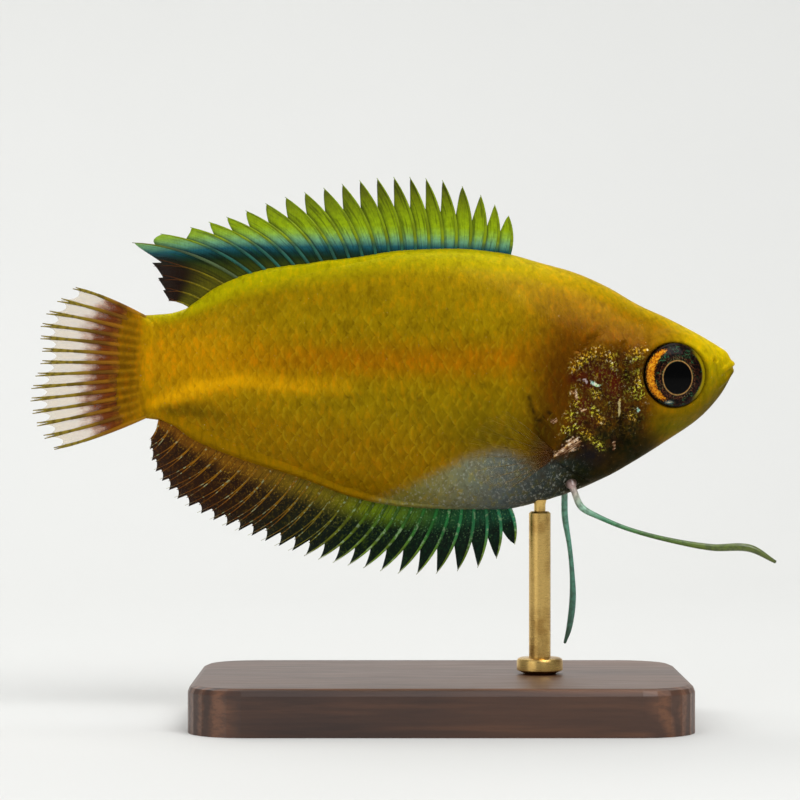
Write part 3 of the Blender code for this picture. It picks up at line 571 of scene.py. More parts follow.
class Finish:
    """A material's node tree, built with short calls that take sockets or plain values and give a socket.

    Plain colours are display values of 0 to 255. m[name] is a named value of each point of the mesh, and
    m.colour the colour so far, which paint covers and finish hands to the shader."""

    def __init__(self, name):
        self.material = bpy.data.materials.new(name)
        self.material.use_nodes = True
        self.tree = self.material.node_tree
        self.shader = self.tree.nodes["Principled BSDF"]
        where = self.tree.nodes.new("ShaderNodeTexCoord")
        self.place = self.stretch(where.outputs["Object"], (1 / MM, 1 / MM, 1 / MM))
        self.colour = None

    def feed(self, socket, value):
        if isinstance(value, bpy.types.NodeSocket):
            self.tree.links.new(value, socket)
        else:
            socket.default_value = tint(*value) if socket.type == "RGBA" else value

    def node(self, kind, inputs=(), **settings):
        made = self.tree.nodes.new("ShaderNode" + kind)
        for key, value in settings.items():
            setattr(made, key, value)
        for key, value in dict(inputs).items():
            self.feed(made.inputs[key], value)
        return made

    def stretch(self, vector, scale):
        return self.node("VectorMath", {0: vector, 1: scale}, operation="MULTIPLY").outputs[0]

    def __getitem__(self, name):
        return self.node("Attribute", attribute_name=name).outputs["Fac"]

    def math(self, operation, a, b=0, c=0, clamp=False):
        return self.node("Math", {0: a, 1: b, 2: c}, operation=operation, use_clamp=clamp).outputs[0]

    def times(self, a, b, clamp=False):
        return self.math("MULTIPLY", a, b, clamp=clamp)

    def step(self, value, low, high, to_low=0, to_high=1, kind="SMOOTHSTEP"):
        inputs = {"Value": value, "From Min": low, "From Max": high, "To Min": to_low, "To Max": to_high}
        return self.node("MapRange", inputs, interpolation_type=kind).outputs["Result"]

    def mix(self, factor, a, b, blend="MIX"):
        return self.node("Mix", {0: factor, 6: a, 7: b}, data_type="RGBA", blend_type=blend).outputs[2]

    def paint(self, factor, colour, blend="MIX"):
        self.colour = self.mix(factor, self.colour, colour, blend)

    def ramp(self, value, *stops):
        """Colours along a value, each stop a position and a display colour."""
        made = self.node("ValToRGB", {"Fac": value})
        steps = made.color_ramp.elements
        for _ in stops[2:]:
            steps.new(0.5)
        for element, (position, *colour) in zip(steps, stops):
            element.position = position
            element.color = tint(*colour)
        return made.outputs["Color"]

    def noise(self, scale, detail=2, roughness=0.5, stretch=None, vector=None):
        vector = vector or self.place
        if stretch:
            vector = self.stretch(vector, stretch)
        inputs = {"Vector": vector, "Scale": scale, "Detail": detail, "Roughness": roughness}
        return self.node("TexNoise", inputs).outputs["Fac"]

    def waves(self, stretch, scale, distortion, direction, detail_scale=1):
        inputs = {"Vector": self.stretch(self.place, stretch), "Scale": scale, "Distortion": distortion,
                  "Detail": 3, "Detail Scale": detail_scale}
        return self.node("TexWave", inputs, bands_direction=direction).outputs["Fac"]

    def bump(self, height, distance, strength=1, normal=None):
        inputs = {"Height": height, "Distance": distance * MM, "Strength": strength}
        if normal is not None:
            inputs["Normal"] = normal
        return self.node("Bump", inputs).outputs[0]

    def finish(self, roughness, **inputs):
        inputs.update(base_color=self.colour, roughness=roughness)
        for key, value in inputs.items():
            self.feed(self.shader.inputs[key.replace("_", " ").title().replace("Ior", "IOR")], value)
        return self.material


# The shine of the guanine layer in the skin.
GOLDEN_GLOSS = (255, 226, 110)


def golden_paint(m):
    """Paints the fish's markings, broken up as skin pigment is, with some painted shade and painted glints
    among them.
    """
    cloud = m.noise(0.55, 3)
    mottle = m.noise(1.9, 3, 0.6)
    streaks = m.noise(2.6, 3, 0.65, (1, 1, 0.42))
    fibres = m.noise(3, 3, 0.65, (1.3, 1.3, 0.32))
    crumbs = m.noise(5, 3, 0.7, (1, 1, 0.7))
    ragged = m.math("SUBTRACT", mottle, 0.5)
    rise = m["rise"]
    low_down = m.step(rise, -0.2, -0.6)

    def mark(name, strength, raggedness, colour):
        broken = m.math("MULTIPLY_ADD", ragged, raggedness, 1)
        m.paint(m.times(m.times(m[name], broken), strength, clamp=True), colour)

    m.colour = m.ramp(cloud, (0.3, 136, 110, 3), (0.7, 156, 128, 4))
    m.paint(low_down, (144, 108, 2))
    for row in (
        ("band", 0.9, 0.5, (163, 106, 2)), ("tail_glow", 0.85, 0.5, (196, 140, 3)),
        ("nape", 0.8, 0.5, (142, 100, 3)), ("ember", 0.9, 0.5, (106, 62, 3)),
        ("olive", 0.85, 0.5, (94, 80, 3)), ("gill_shade", 0.95, 0.3, (84, 46, 3)),
        # Brown at the pectoral fin's root, partly painted shade.
        ("brown", 0.9, 0.6, (54, 32, 2)),
        ("back", 0.95, 0.35, m.mix(m["nape"], (176, 168, 5), (192, 162, 4))),
        ("streak", 1, 0.5, (228, 166, 4)), ("wedge", 0.8, 0.5, (98, 76, 2)),
    ):
        mark(*row)

    root = m.ramp(m["root"], (0, 172, 124, 4), (0.5, 140, 98, 5), (1, 116, 76, 5))
    root = m.mix(m.times(m["root_ray"], m.step(m["root"], 0.1, 0.5, 0, 0.55)), root, (166, 120, 14))
    m.paint(m.step(m["root"], 0, 0.25), root)

    silver = m.ramp(m["silver_place"], (0, 26, 42, 34), (0.25, 62, 72, 70), (0.47, 98, 112, 112),
                    (0.64, 124, 132, 110), (0.8, 136, 136, 88), (1, 134, 130, 58))
    # Painted highlights: bright glints specked over the silver belly.
    painted_belly_highlights = m.times(m.step(crumbs, 0.5, 0.7), m.step(fibres, 0.42, 0.6))
    mark("silver", 0.97, 0.5, m.mix(m.times(painted_belly_highlights, 0.6), silver, (190, 198, 188)))

    # The snout's colours darken towards the chin, partly painted shade under the head.
    mark("snout", 0.9, 0.2, m.ramp(m.step(rise, -1, 1, kind="LINEAR"), (0, 62, 58, 6), (0.25, 122, 108, 5),
                                   (0.5, 168, 150, 5), (0.9, 222, 194, 8)))

    ground = m.mix(low_down, (46, 22, 8), (18, 19, 10))
    ground = m.mix(m.step(m.noise(1.3), 0.48, 0.62, 0, 0.8), ground, (46, 12, 12))
    ground = m.mix(m.step(fibres, 0.54, 0.68, 0, 0.34), ground, (100, 74, 22))
    ground = m.mix(m.step(fibres, 0.48, 0.34, 0, 0.85), ground, (10, 7, 4))
    on_cheek = m.times(m["cheek"], m.step(mottle, 0.3, 0.6, 0.75, 1.1))
    m.paint(m.times(on_cheek, 0.95, clamp=True), ground)
    for row in (
        # The throat's dark colour is partly painted shade under the head.
        ("jaw", 0.9, 0.5, (108, 98, 5)), ("throat", 0.95, 0.4, (19, 23, 7)),
        ("violet", 0.95, 0.8, (26, 23, 27)), ("maroon", 0.85, 1.2, (76, 14, 14)),
        ("dark", 0.9, 0.2, (16, 11, 4)),
    ):
        mark(*row)

    sparkle = m.noise(5.5, 3, 0.75)
    clusters = m.times(m["fleck"], m.step(mottle, 0.36, 0.54, 0.2, 1.1))
    m.paint(m.times(clusters, 0.22, clamp=True), (104, 76, 10))
    gold = m.mix(m.step(cloud, 0.42, 0.58), (206, 160, 34), (206, 204, 60))
    gold = m.mix(m.step(crumbs, 0.54, 0.64), gold, (252, 236, 190))
    m.paint(m.times(m.times(m.step(sparkle, 0.5, 0.62), clusters), 1.4, clamp=True), gold)
    jagged = m.math("MULTIPLY_ADD", sparkle, 1.9, -0.95)

    def crumble(name, strength, low, high, colour):
        m.paint(m.times(m.step(m.math("ADD", m[name], jagged), low, high), strength), colour)

    crumble("bright_line", 0.8, 0.3, 0.7, (206, 190, 130))
    turned = m.node("VectorRotate", {"Vector": m.place, "Angle": 0.5}, rotation_type="Y_AXIS").outputs[0]
    strands = m.noise(7, 3, 0.6, (0.2, 1, 1), turned)
    pink = m.mix(m.step(strands, 0.42, 0.56), (84, 46, 26), (206, 166, 126))
    pink = m.mix(m.times(m.step(strands, 0.52, 0.6), m.step(crumbs, 0.44, 0.56)), pink, (250, 232, 206))
    crumble("pink", 0.95, 0.3, 0.7, pink)
    crumble("lilac", 0.75, 0.45, 0.75, (204, 184, 186))
    crumble("pale", 0.9, 0.45, 0.75, m.mix(m.step(crumbs, 0.44, 0.56), (136, 204, 180), (226, 236, 220)))
    m.paint(m.step(streaks, 0.5, 0.66, 0, 0.38), (240, 206, 20), "OVERLAY")
    m.paint(m.step(streaks, 0.5, 0.32, 0, 0.26), (122, 78, 4), "MULTIPLY")


def skin_finish():
    m = Finish("golden_skin")
    golden_paint(m)
    pores = m.node("TexVoronoi", {"Vector": m.place, "Scale": 4.5}, feature="SMOOTH_F1").outputs["Distance"]
    bump = m.bump(m.noise(9, 3, 0.6), 0.03, 0.5, m.bump(pores, 0.04, 0.4))
    return m.finish(m.step(m.noise(1.4, 3), 0.3, 0.7, 0.34, 0.5), normal=bump, metallic=0.2,
                    specular_ior_level=0.03, specular_tint=GOLDEN_GLOSS, coat_weight=0.01, coat_roughness=0.2)


def scale_finish():
    m = Finish("golden_scales")
    golden_paint(m)
    along, tone = m["lie_along"], m["tone"]
    plain = m.times(m.step(m["nape"], 0, 0.9, 1, 0.25), m["plain"])
    # Painted shade: each scale is darker towards its root, under the scale in front of it; plain makes this
    # weaker on the nape and along the back.
    m.paint(m.times(m.step(along, 0.75, 0.35, 0, 0.16), plain), (120, 84, 6), "MULTIPLY")
    # A painted highlight along each scale's free edge, together with its own paler margin; none on the silver
    # belly.
    rim = m.times(m.step(along, 0.8, 0.95), m.step(m.noise(2.2), 0.4, 0.64, 0.01, 0.12))
    rim = m.times(rim, m.step(m["silver"], 0, 0.5, 1, 0))
    m.paint(m.times(rim, plain), (236, 204, 40))
    m.paint(m.times(m.step(tone, 0, 1, 0.09, 0), plain), (100, 66, 3))
    # Painted highlights: glints at the free edges of the silver belly's scales.
    glint = m.times(m.step(along, 0.84, 0.96), m.step(m.noise(4.5, 3), 0.54, 0.62))
    m.paint(m.times(m.times(m["silver"], glint), 0.36), (196, 200, 186))
    bump = m.bump(m.noise(5, 3, 0.6, (1, 1, 0.35)), 0.03, 0.6)
    return m.finish(m.step(tone, 0, 1, 0.46, 0.34), normal=bump, metallic=0.25, specular_ior_level=0.05,
                    specular_tint=GOLDEN_GLOSS, coat_weight=0.02, coat_roughness=0.15)


def eye_finish():
    """The iris round its pupil: thin gold ring, dark iris, orange crescent along the rear rim, with a painted
    reflection low at the rear and painted shade round the eye's edge.
    """
    m = Finish("eye")
    out = m["pupil_out"]
    grain, fine = m.noise(6, 3, 0.7), m.noise(11, 2, 0.6)
    m.colour = m.mix(m.step(grain, 0.44, 0.62), (3, 3, 2), (46, 20, 10))
    m.paint(m.times(m.step(fine, 0.52, 0.6), m.step(m.noise(1.6), 0.48, 0.6)), (46, 96, 62))
    ragged = m.step(fine, 0.35, 0.65, -1.45, 0)
    orange = m.ramp(grain, (0.34, 128, 56, 3), (0.48, 206, 116, 6), (0.66, 244, 178, 36))
    m.paint(m.math("ADD", m.times(m["crescent"], 2.2), ragged, clamp=True), orange)
    # A painted reflection: a small white and cyan glint low on the rear of the eye.
    m.paint(m["glint"], m.mix(m.step(fine, 0.46, 0.54), (52, 132, 150), (206, 196, 160)))
    ring = m.times(m.step(out, 1.09, 1.13), m.step(out, 1.22, 1.16))
    m.paint(m.times(ring, m.step(fine, 0.4, 0.6, 0.6, 0.95)), m.mix(grain, (132, 84, 30), (206, 164, 100)))
    outer_ring = m.times(m.step(out, 1.24, 1.3), m.step(out, 1.5, 1.4))
    m.paint(m.times(outer_ring, m.step(fine, 0.5, 0.6, 0, 0.6)), (120, 70, 44))
    m.paint(m.step(out, 1.1, 1.06), (1, 1, 1))
    # Painted shade: a dark ring round the eye's edge, where it meets the socket.
    m.paint(m.step(m["eye_out"], 2.26, 2.33), (20, 12, 6))
    m.paint(m["lid"], (146, 128, 6))
    bump = m.bump(grain, 0.02, m.step(out, 1.15, 1.3, 0, 0.4))
    return m.finish(0.3, normal=bump, specular_ior_level=0.04, coat_weight=0.12, coat_roughness=0.02,
                    coat_ior=1.33)


def fin_finish(m, ray, clear, joints, clear_ray=1):
    """Ends a fin's finish. Its membrane is painted so far; clear is the membrane's alpha, joints how dark
    the joints of a ray are."""
    ripple = m.waves((1, 0, 1), 1.6, 6, "X")
    along_rays = m.node("CombineXYZ", {0: m.times(m["fin_along"], 170), 1: m.times(m["fin_out"], 2.2)})
    streaks = m.noise(1, 3, vector=along_rays.outputs[0])
    m.paint(m.step(m.noise(3.2, 3, 0.6), 0.36, 0.64, 0.2, 0), (20, 18, 8))
    m.paint(m.step(streaks, 0.5, 0.34, 0, 0.5), (70, 62, 20), "MULTIPLY")
    m.paint(m.step(streaks, 0.5, 0.68, 0, 0.5), (190, 180, 60), "OVERLAY")
    beads = m.math("MULTIPLY_ADD", m["bead"], 0.5, 0.5)
    m.paint(m["ray"], m.mix(m.times(m.step(beads, 0.55, 0.2), joints), ray, (38, 24, 10)))
    alpha = m.node("Mix", {0: m["ray"], 2: clear, 3: clear_ray}, data_type="FLOAT").outputs[0]
    bump = m.bump(m.noise(6), 0.02, 0.4, m.bump(ripple, 0.02, 0.35))
    return m.finish(m.step(m["ray"], 0, 1, 0.4, 0.3), normal=bump, alpha=alpha, specular_ior_level=0.08,
                    coat_weight=0.03, coat_roughness=0.15)


def dorsal_finish():
    m = Finish("dorsal_fin")
    out, along, height = m["fin_out"], m["fin_along"], m["band_height"]
    m.colour = m.ramp(m.step(height, -2.5, 5, kind="LINEAR"), (0, 74, 78, 5), (0.16, 54, 64, 8),
                      (0.23, 22, 46, 18), (0.28, 8, 56, 56), (0.335, 30, 92, 104), (0.4, 112, 168, 126),
                      (0.47, 148, 188, 64), (0.54, 150, 178, 12), (0.67, 136, 158, 8), (0.85, 100, 112, 6),
                      (1, 68, 74, 5))
    # Painted shade: each membrane darkens towards the spine behind it, where the sails overlap.
    m.paint(m.step(m["panel"], 0.55, 1, 0, 0.72), (22, 34, 8))
    m.paint(m.step(along, 0.84, 0.89), m.mix(m.step(out, 0.1, 0.6), (88, 84, 8), (30, 14, 5)))
    ray = m.mix(m.step(height, 0, 0.8), (40, 92, 78), (132, 152, 20))
    rear_ray = m.mix(m.step(out, 0.2, 0.7), (120, 110, 10), (84, 44, 12))
    ray = m.mix(m.step(along, 0.8, 0.88), ray, rear_ray)
    return fin_finish(m, ray, m.step(out, 0.3, 1, 1, 0.92), joints=0.25)


def anal_finish():
    m = Finish("anal_fin")
    out, along = m["fin_out"], m["fin_along"]
    m.colour = m.ramp(along, (0, 1, 26, 14), (0.4, 2, 22, 8), (0.55, 18, 22, 4), (0.72, 40, 18, 3),
                      (1, 48, 24, 4))
    foot = m.ramp(along, (0, 18, 72, 52), (0.2, 26, 80, 40), (0.36, 104, 132, 8), (0.5, 118, 108, 6),
                  (0.75, 130, 86, 6), (1, 130, 78, 6))
    m.paint(m.step(m.noise(4, 2, 0.7), 0.5, 0.68, 0, 0.6), m.mix(0.35, m.colour, foot))
    m.paint(m.step(out, 0.32, 0.03), foot)
    flecks = m.times(m.step(m.noise(6.5, 2, 0.7), 0.56, 0.68), m.step(out, 0.6, 0.1, 0, 0.5))
    m.paint(flecks, m.mix(m.step(along, 0.3, 0.6), (120, 170, 110), (196, 150, 40)))
    ray = m.ramp(along, (0, 54, 138, 96), (0.2, 34, 112, 48), (0.4, 76, 98, 16), (0.6, 134, 96, 12),
                 (1, 152, 98, 12))
    outer = m.mix(m.step(along, 0.3, 0.6), (112, 138, 40), (106, 60, 12))
    ray = m.mix(m.step(out, 0.25, 0.75), ray, outer)
    # Painted highlights: pale glints on the rays.
    ray = m.mix(m.times(m.step(m.noise(3.4), 0.54, 0.66), 0.45), ray, (170, 196, 150))
    ray = m.mix(m.step(out, 0.84, 0.97, 0, 0.8), ray, (206, 210, 176))
    return fin_finish(m, ray, m.step(out, 0.5, 1, 1, 0.92), joints=0.3)


def caudal_finish():
    """The tail fin's colour reaches a little further out beside a ray than between two."""
    m = Finish("caudal_fin")
    beside = m.math("ABSOLUTE", m.math("SUBTRACT", m["panel"], 0.5))
    less = m.math("ADD", m.times(beside, 0.16), m.times(m.noise(1.6, 3), 0.24))
    out = m.math("ADD", m.math("SUBTRACT", m["fin_out"], less), 0.14)
    m.colour = m.ramp(out, (0, 166, 118, 8), (0.16, 146, 98, 8), (0.28, 116, 56, 8), (0.4, 128, 60, 8),
                      (0.5, 184, 112, 12), (0.62, 212, 162, 44), (1, 222, 190, 92))
    ray = m.ramp(m["fin_out"], (0, 168, 122, 8), (0.25, 146, 94, 12), (0.4, 132, 88, 18),
                 (0.6, 138, 116, 30), (1, 140, 126, 48))
    return fin_finish(m, ray, m.step(out, 0.28, 0.62, 1, 0.2), joints=0.45)


def pectoral_finish():
    m = Finish("pectoral_fin")
    out = m["fin_out"]
    m.colour = m.mix(m.step(out, 0, 0.5), (88, 50, 8), (150, 122, 30))
    ray = m.mix(m.step(out, 0.1, 0.7), (84, 46, 8), (140, 112, 34))
    return fin_finish(m, ray, m.step(out, 0, 0.4, 0.6, 0.05), joints=0.3, clear_ray=0.2)


def thread_finish(name, stops):
    m = Finish(name)
    m.colour = m.ramp(m["thread_out"], *stops)
    m.paint(m.step(m.noise(3), 0.4, 0.65, 0, 0.45), (24, 40, 20))
    return m.finish(m.step(m.noise(2), 0.3, 0.7, 0.3, 0.45), normal=m.bump(m.noise(5), 0.03, 0.5),
                    coat_weight=0.3, coat_roughness=0.1)


def wood_finish():
    m = Finish("dark_wood")
    rings = m.waves((0.06, 1, 1), 0.34, 5, "Y", 1.2)
    fibre = m.noise(3.4, 3, 0.7, (0.05, 1, 1))
    m.colour = m.ramp(rings, (0.1, 58, 34, 22), (0.55, 88, 54, 34), (0.95, 108, 68, 42))
    m.paint(m.step(fibre, 0.35, 0.65, 0.5, 0), (36, 20, 14))
    m.paint(m.step(m.noise(0.09, 3, 0.6, (0.35, 1, 1)), 0.35, 0.7, 0, 0.25), (128, 82, 50))
    return m.finish(m.step(fibre, 0.3, 0.7, 0.5, 0.4), normal=m.bump(fibre, 0.03, 0.5),
                    coat_weight=0.2, coat_roughness=0.35)


def brass_finish():
    m = Finish("satin_brass")
    brushed = m.noise(6, 2, 0.6, (0.2, 0.2, 6))
    m.colour = m.mix(m.step(m.noise(0.5, 3, 0.6), 0.42, 0.68), (214, 178, 104), (176, 138, 74))
    return m.finish(m.step(brushed, 0.3, 0.7, 0.24, 0.38), normal=m.bump(brushed, 0.01, 0.4), metallic=1)


def floor_finish():
    m = Finish("pale_floor")
    m.colour = m.mix(m.noise(0.004), (213, 213, 210), (221, 221, 218))
    return m.finish(m.step(m.noise(0.02), 0.3, 0.7, 0.65, 0.75))


# The skin

def loft(rings, angles):
    """The plain body as one closed mesh, a skin's depth inside the CAD's."""
    degrees = np.linspace(-90, 90, angles)
    around = np.concatenate([degrees, degrees[-2:0:-1]])
    side = np.concatenate([np.full(angles, -1.0), np.full(angles - 2, 1.0)])
    ridge = np.abs(around) > 89.9
    points = []
    for share in np.linspace(0, 1, rings):
        station = TAIL_END * share ** 1.5
        reach = station + TAIL_CROWN * np.cos(np.radians(around)) ** 2 * share ** 20
        inward = -skin_normal(reach, around, side) * np.minimum(SKIN_DEPTH, 0.2 * half_width(station))
        inward[:, 0] = 0
        inward[ridge, 1] = 0
        inward[ridge, 2] = -SKIN_DEPTH * np.sign(around[ridge])
        points.append(bare_skin(reach, around, side) + inward)
    points.append([(0, 0, -0.28), (TAIL_END + TAIL_CROWN, 0, -0.15)])
    return np.concatenate(points), *pointed(rings, len(around))


def over_snout(half):
    """A route over the snout from a route of (s, y, h) down one side to the midline."""
    return [(s, -y, h) for s, y, h in half] + [(s, y, h) for s, y, h in reversed(half[:-1])]


def sheath(base, line, up, heights):
    """The low fleshy ridge that a fin's rays stand in, closed and sunk in the body."""
    s = np.linspace(base[0] - 0.2, base[1] + 0.2, 60)
    height = smooth(heights)(np.linspace(0, 1, 60))
    section = ((-0.62, -0.7), (-0.5, 0), (-0.2, 0.75), (0, 1), (0.2, 0.75), (0.5, 0), (0.62, -0.7))
    points = []
    for station, tall in zip(s, height):
        width = min(1.0, half_width(station) / 1.3)
        for y, h in section:
            level = (h * max(tall, 0.15) if h > 0 else h) + min(tall, 0.0)
            points.append((station, y * width, line(station) + up * level))
    return np.array(points), *blunt(len(s), len(section))


def tail_root():
    """The flesh at the root of the tail fin: it thins out between the fin's rays and a little along them."""
    around = circle(200)
    along = (1 - np.sin(around)) / 2
    on_ray = np.cos(2 * math.pi * (CAUDAL_RAYS - 1) * along)
    side = np.sign(np.cos(around)) * np.abs(np.cos(around)) ** 0.5
    rings = []
    for share in np.linspace(0, 1, 20):
        t = -0.12 + share * (0.12 + TAIL_ROOT_REACH + TAIL_FINGERS * on_ray)
        points = caudal_point(along, t)
        points[:, 1] += side * (0.13 + 0.75 * (1 - share ** 2) ** 2)
        rings.append(points)
    return np.concatenate(rings), *blunt(len(rings), len(around))


def plain_skin():
    """The plain forms of body, lips and fin roots as one voxel mesh, in mm."""
    plain = Shape()
    lips = (curve_through(over_snout(lip), 40) for lip in (UPPER_LIP, LOWER_LIP))
    for points, quads, caps in (
        loft(110, 45),
        *(tube(lip, LIP_RADIUS, 12, (0, 0, 1))[:3] for lip in lips),
        sheath(DORSAL_BASE, back_line, 1, ((0, -0.4), (0.5, -0.15), (0.75, 0.5), (0.9, 0.6), (1, -0.3))),
        sheath(ANAL_BASE, belly_line, -1, ((0, -0.4), (0.3, -0.1), (0.6, 0.2), (0.9, 0.4), (1, -0.3))),
        tail_root(),
    ):
        plain.add(place(points) / MM, quads, caps)
    source = add_object("skin_source", plain.mesh("skin_source"))
    remesh = source.modifiers.new("Remesh", "REMESH")
    remesh.mode = "VOXEL"
    remesh.voxel_size = SKIN_CELL
    soften = source.modifiers.new("Soften", "SMOOTH")
    soften.factor = 0.5
    soften.iterations = 4
    bpy.context.view_layer.update()
    graph = bpy.context.evaluated_depsgraph_get()
    mesh = bpy.data.meshes.new_from_object(source.evaluated_get(graph))
    bpy.data.objects.remove(source)
    mesh.name = "golden_skin"
    return mesh


def press_socket(points, side):
    """The skin's points with the socket of one eye pressed into them."""
    axes, middle = eye_axes(side), eye_middle(side)
    flat = (points - middle) @ axes
    out, deep = np.hypot(flat[:, 0], flat[:, 1]), flat[:, 2]
    near = (out < EYE_RADIUS + SOCKET_WALL) & (deep > -1.5) & (deep < 2.0)
    bowl = (EYE_RADIUS + SOCKET_WALL - out) / SOCKET_WALL
    bowl = SOCKET_LIP * (1 - bowl) - SOCKET_DEPTH * ease(bowl, 0.55, 2.4)
    flat[near, 2] = np.minimum(deep, bowl)[near]
    return np.where(near[:, None], flat @ axes.T + middle, points)


def skin():
    """One skin over head, body and gill covers, with its folds, mouth, nostrils and eye sockets."""
    mesh = plain_skin()
    points = read(mesh.vertices, "co")
    fish = fish_place(points)
    rise = relief(fish[:, 0], fish[:, 2]) * ease(np.abs(fish[:, 1]), 0, 0.5)
    rise -= 0.09 * bell(line_distance(fish, curve_through(over_snout(MOUTH_LINE), 24)), 0.1)
    for nostril in NOSTRILS:
        away = np.linalg.norm(fish[:, [0, 2]] - nostril, axis=1)
        rise += 0.07 * bell(away - 0.27, 0.1) - 0.28 * bell(away, 0.16)
    points = points + read(mesh.vertex_normals, "vector") * rise[:, None]
    for side, _ in SIDES:
        points = press_socket(points, side)
    mesh.vertices.foreach_set("co", (points * MM).ravel())
    for key, values in markings(fish[:, 0], fish[:, 2]).items():
        store(mesh, key, values)
    mesh.shade_smooth()
    covered = ("head", "trunk", "tail_stem", "gill_cover_right", "gill_cover_left")
    dress(add_object("golden_skin", mesh), skin_finish(), covered)


# The scales

class Flank:
    """One side's skin as a table over s and the way round, for placing scales on it."""

    STATIONS, TURNS, SHARES = 420, 361, 301

    def __init__(self, side):
        self.s = np.linspace(0.3, TAIL_END + 0.3, self.STATIONS)
        s, angles = np.meshgrid(self.s, np.linspace(-90, 90, self.TURNS), indexing="ij")
        points = bare_skin(s, angles, side)
        normals = skin_normal(s, angles, side)
        points = points + normals * (relief(points[..., 0], points[..., 2]) - SKIN_DEPTH)[..., None]
        way = np.linalg.norm(np.diff(points, axis=1), axis=-1)
        around = np.pad(np.cumsum(way, axis=1), ((0, 0), (1, 0)))
        around -= around[:, self.TURNS // 2, None]
        self.low, self.high = around[:, 0], around[:, -1]
        shares = np.linspace(-1, 1, self.SHARES)
        self.points = np.zeros((self.STATIONS, self.SHARES, 3))
        for row in range(self.STATIONS):
            wanted = np.where(shares > 0, shares * self.high[row], -shares * self.low[row])
            for axis in range(3):
                self.points[row, :, axis] = np.interp(wanted, around[row], points[row, :, axis])
        normal = unit(np.cross(np.gradient(self.points, axis=0), np.gradient(self.points, axis=1)))
        outward = normal[:, self.SHARES // 2, 1] * side
        self.normals = normal * np.where(outward < 0, -1, 1)[:, None, None]

    def limits(self, s):
        return np.interp(s, self.s, self.low), np.interp(s, self.s, self.high)

    def at(self, s, q):
        """Points and normals at s and q, the way up from the widest level in mm."""
        low, high = self.limits(s)
        share = np.clip(np.where(q > 0, q / high, -q / low), -1, 1)
        i = np.clip((s - self.s[0]) / (self.s[1] - self.s[0]), 0, self.STATIONS - 1.001)
        j = np.clip((share + 1) / 2 * (self.SHARES - 1), 0, self.SHARES - 1.001)
        i0, j0 = i.astype(int), j.astype(int)
        u, v = (i - i0)[..., None], (j - j0)[..., None]
        point, normal = (
            table[i0, j0] * (1 - u) * (1 - v) + table[i0 + 1, j0] * u * (1 - v)
            + table[i0, j0 + 1] * (1 - u) * v + table[i0 + 1, j0 + 1] * u * v
            for table in (self.points, self.normals)
        )
        return point, unit(normal)

    def grows(self, s, q):
        """Whether scales grow there: on trunk, nape, gill cover and cheek, but not snout, throat or eye."""
        h = self.at(np.array(s), np.array(q))[0][2]
        if math.hypot(s - EYE_S, h - EYE_H) < BARE_AROUND_EYE:
            return False
        ahead = float(gill_edge(h)) - s
        level, back = float(widest_level(s)), float(back_line(s))
        if s > 13.4 or ahead < -0.25 and s > 9.8:
            return True
        if h > 1.8:
            return s > 6.6 and (h - level) / (back - level) > 0.12
        on_cover = ahead > 0.45 and s > 8.9 and h > -5.8
        return on_cover or (6.9 < s < 8.0 and h > -5.0)


def scale_places(flank, draw):
    """Where scales sit, as (s, q, share of a row's height): bricks along the body, and a row at each edge."""
    fine = np.linspace(5.0, TAIL_END, 800)
    count = np.concatenate([[0], np.cumsum(np.diff(fine) / scale_pitch(fine[:-1]))])
    places = []
    for row in range(-26, 27):
        for column in range(int(count[-1]) + 1):
            middle = column + 0.5 * (row % 2)
            s = float(np.interp(middle, count, fine)) + draw.normal(0, 0.03)
            q = row * float(scale_row(s)) + draw.normal(0, 0.02)
            low, high = flank.limits(s)
            if middle > count[-1] or not low + 0.15 < q < high - 0.1:
                continue
            if flank.grows(s, q):
                places.append((s, q, 1.0))
    for s in np.interp(np.arange(0, count[-1], 1.0), count, fine):
        low, high = flank.limits(s)
        tall = float(scale_row(s))
        for q in (low + 0.3 * tall, high - 0.3 * tall):
            if flank.grows(s, q):
                places.append((s, q, 0.75))
    return places


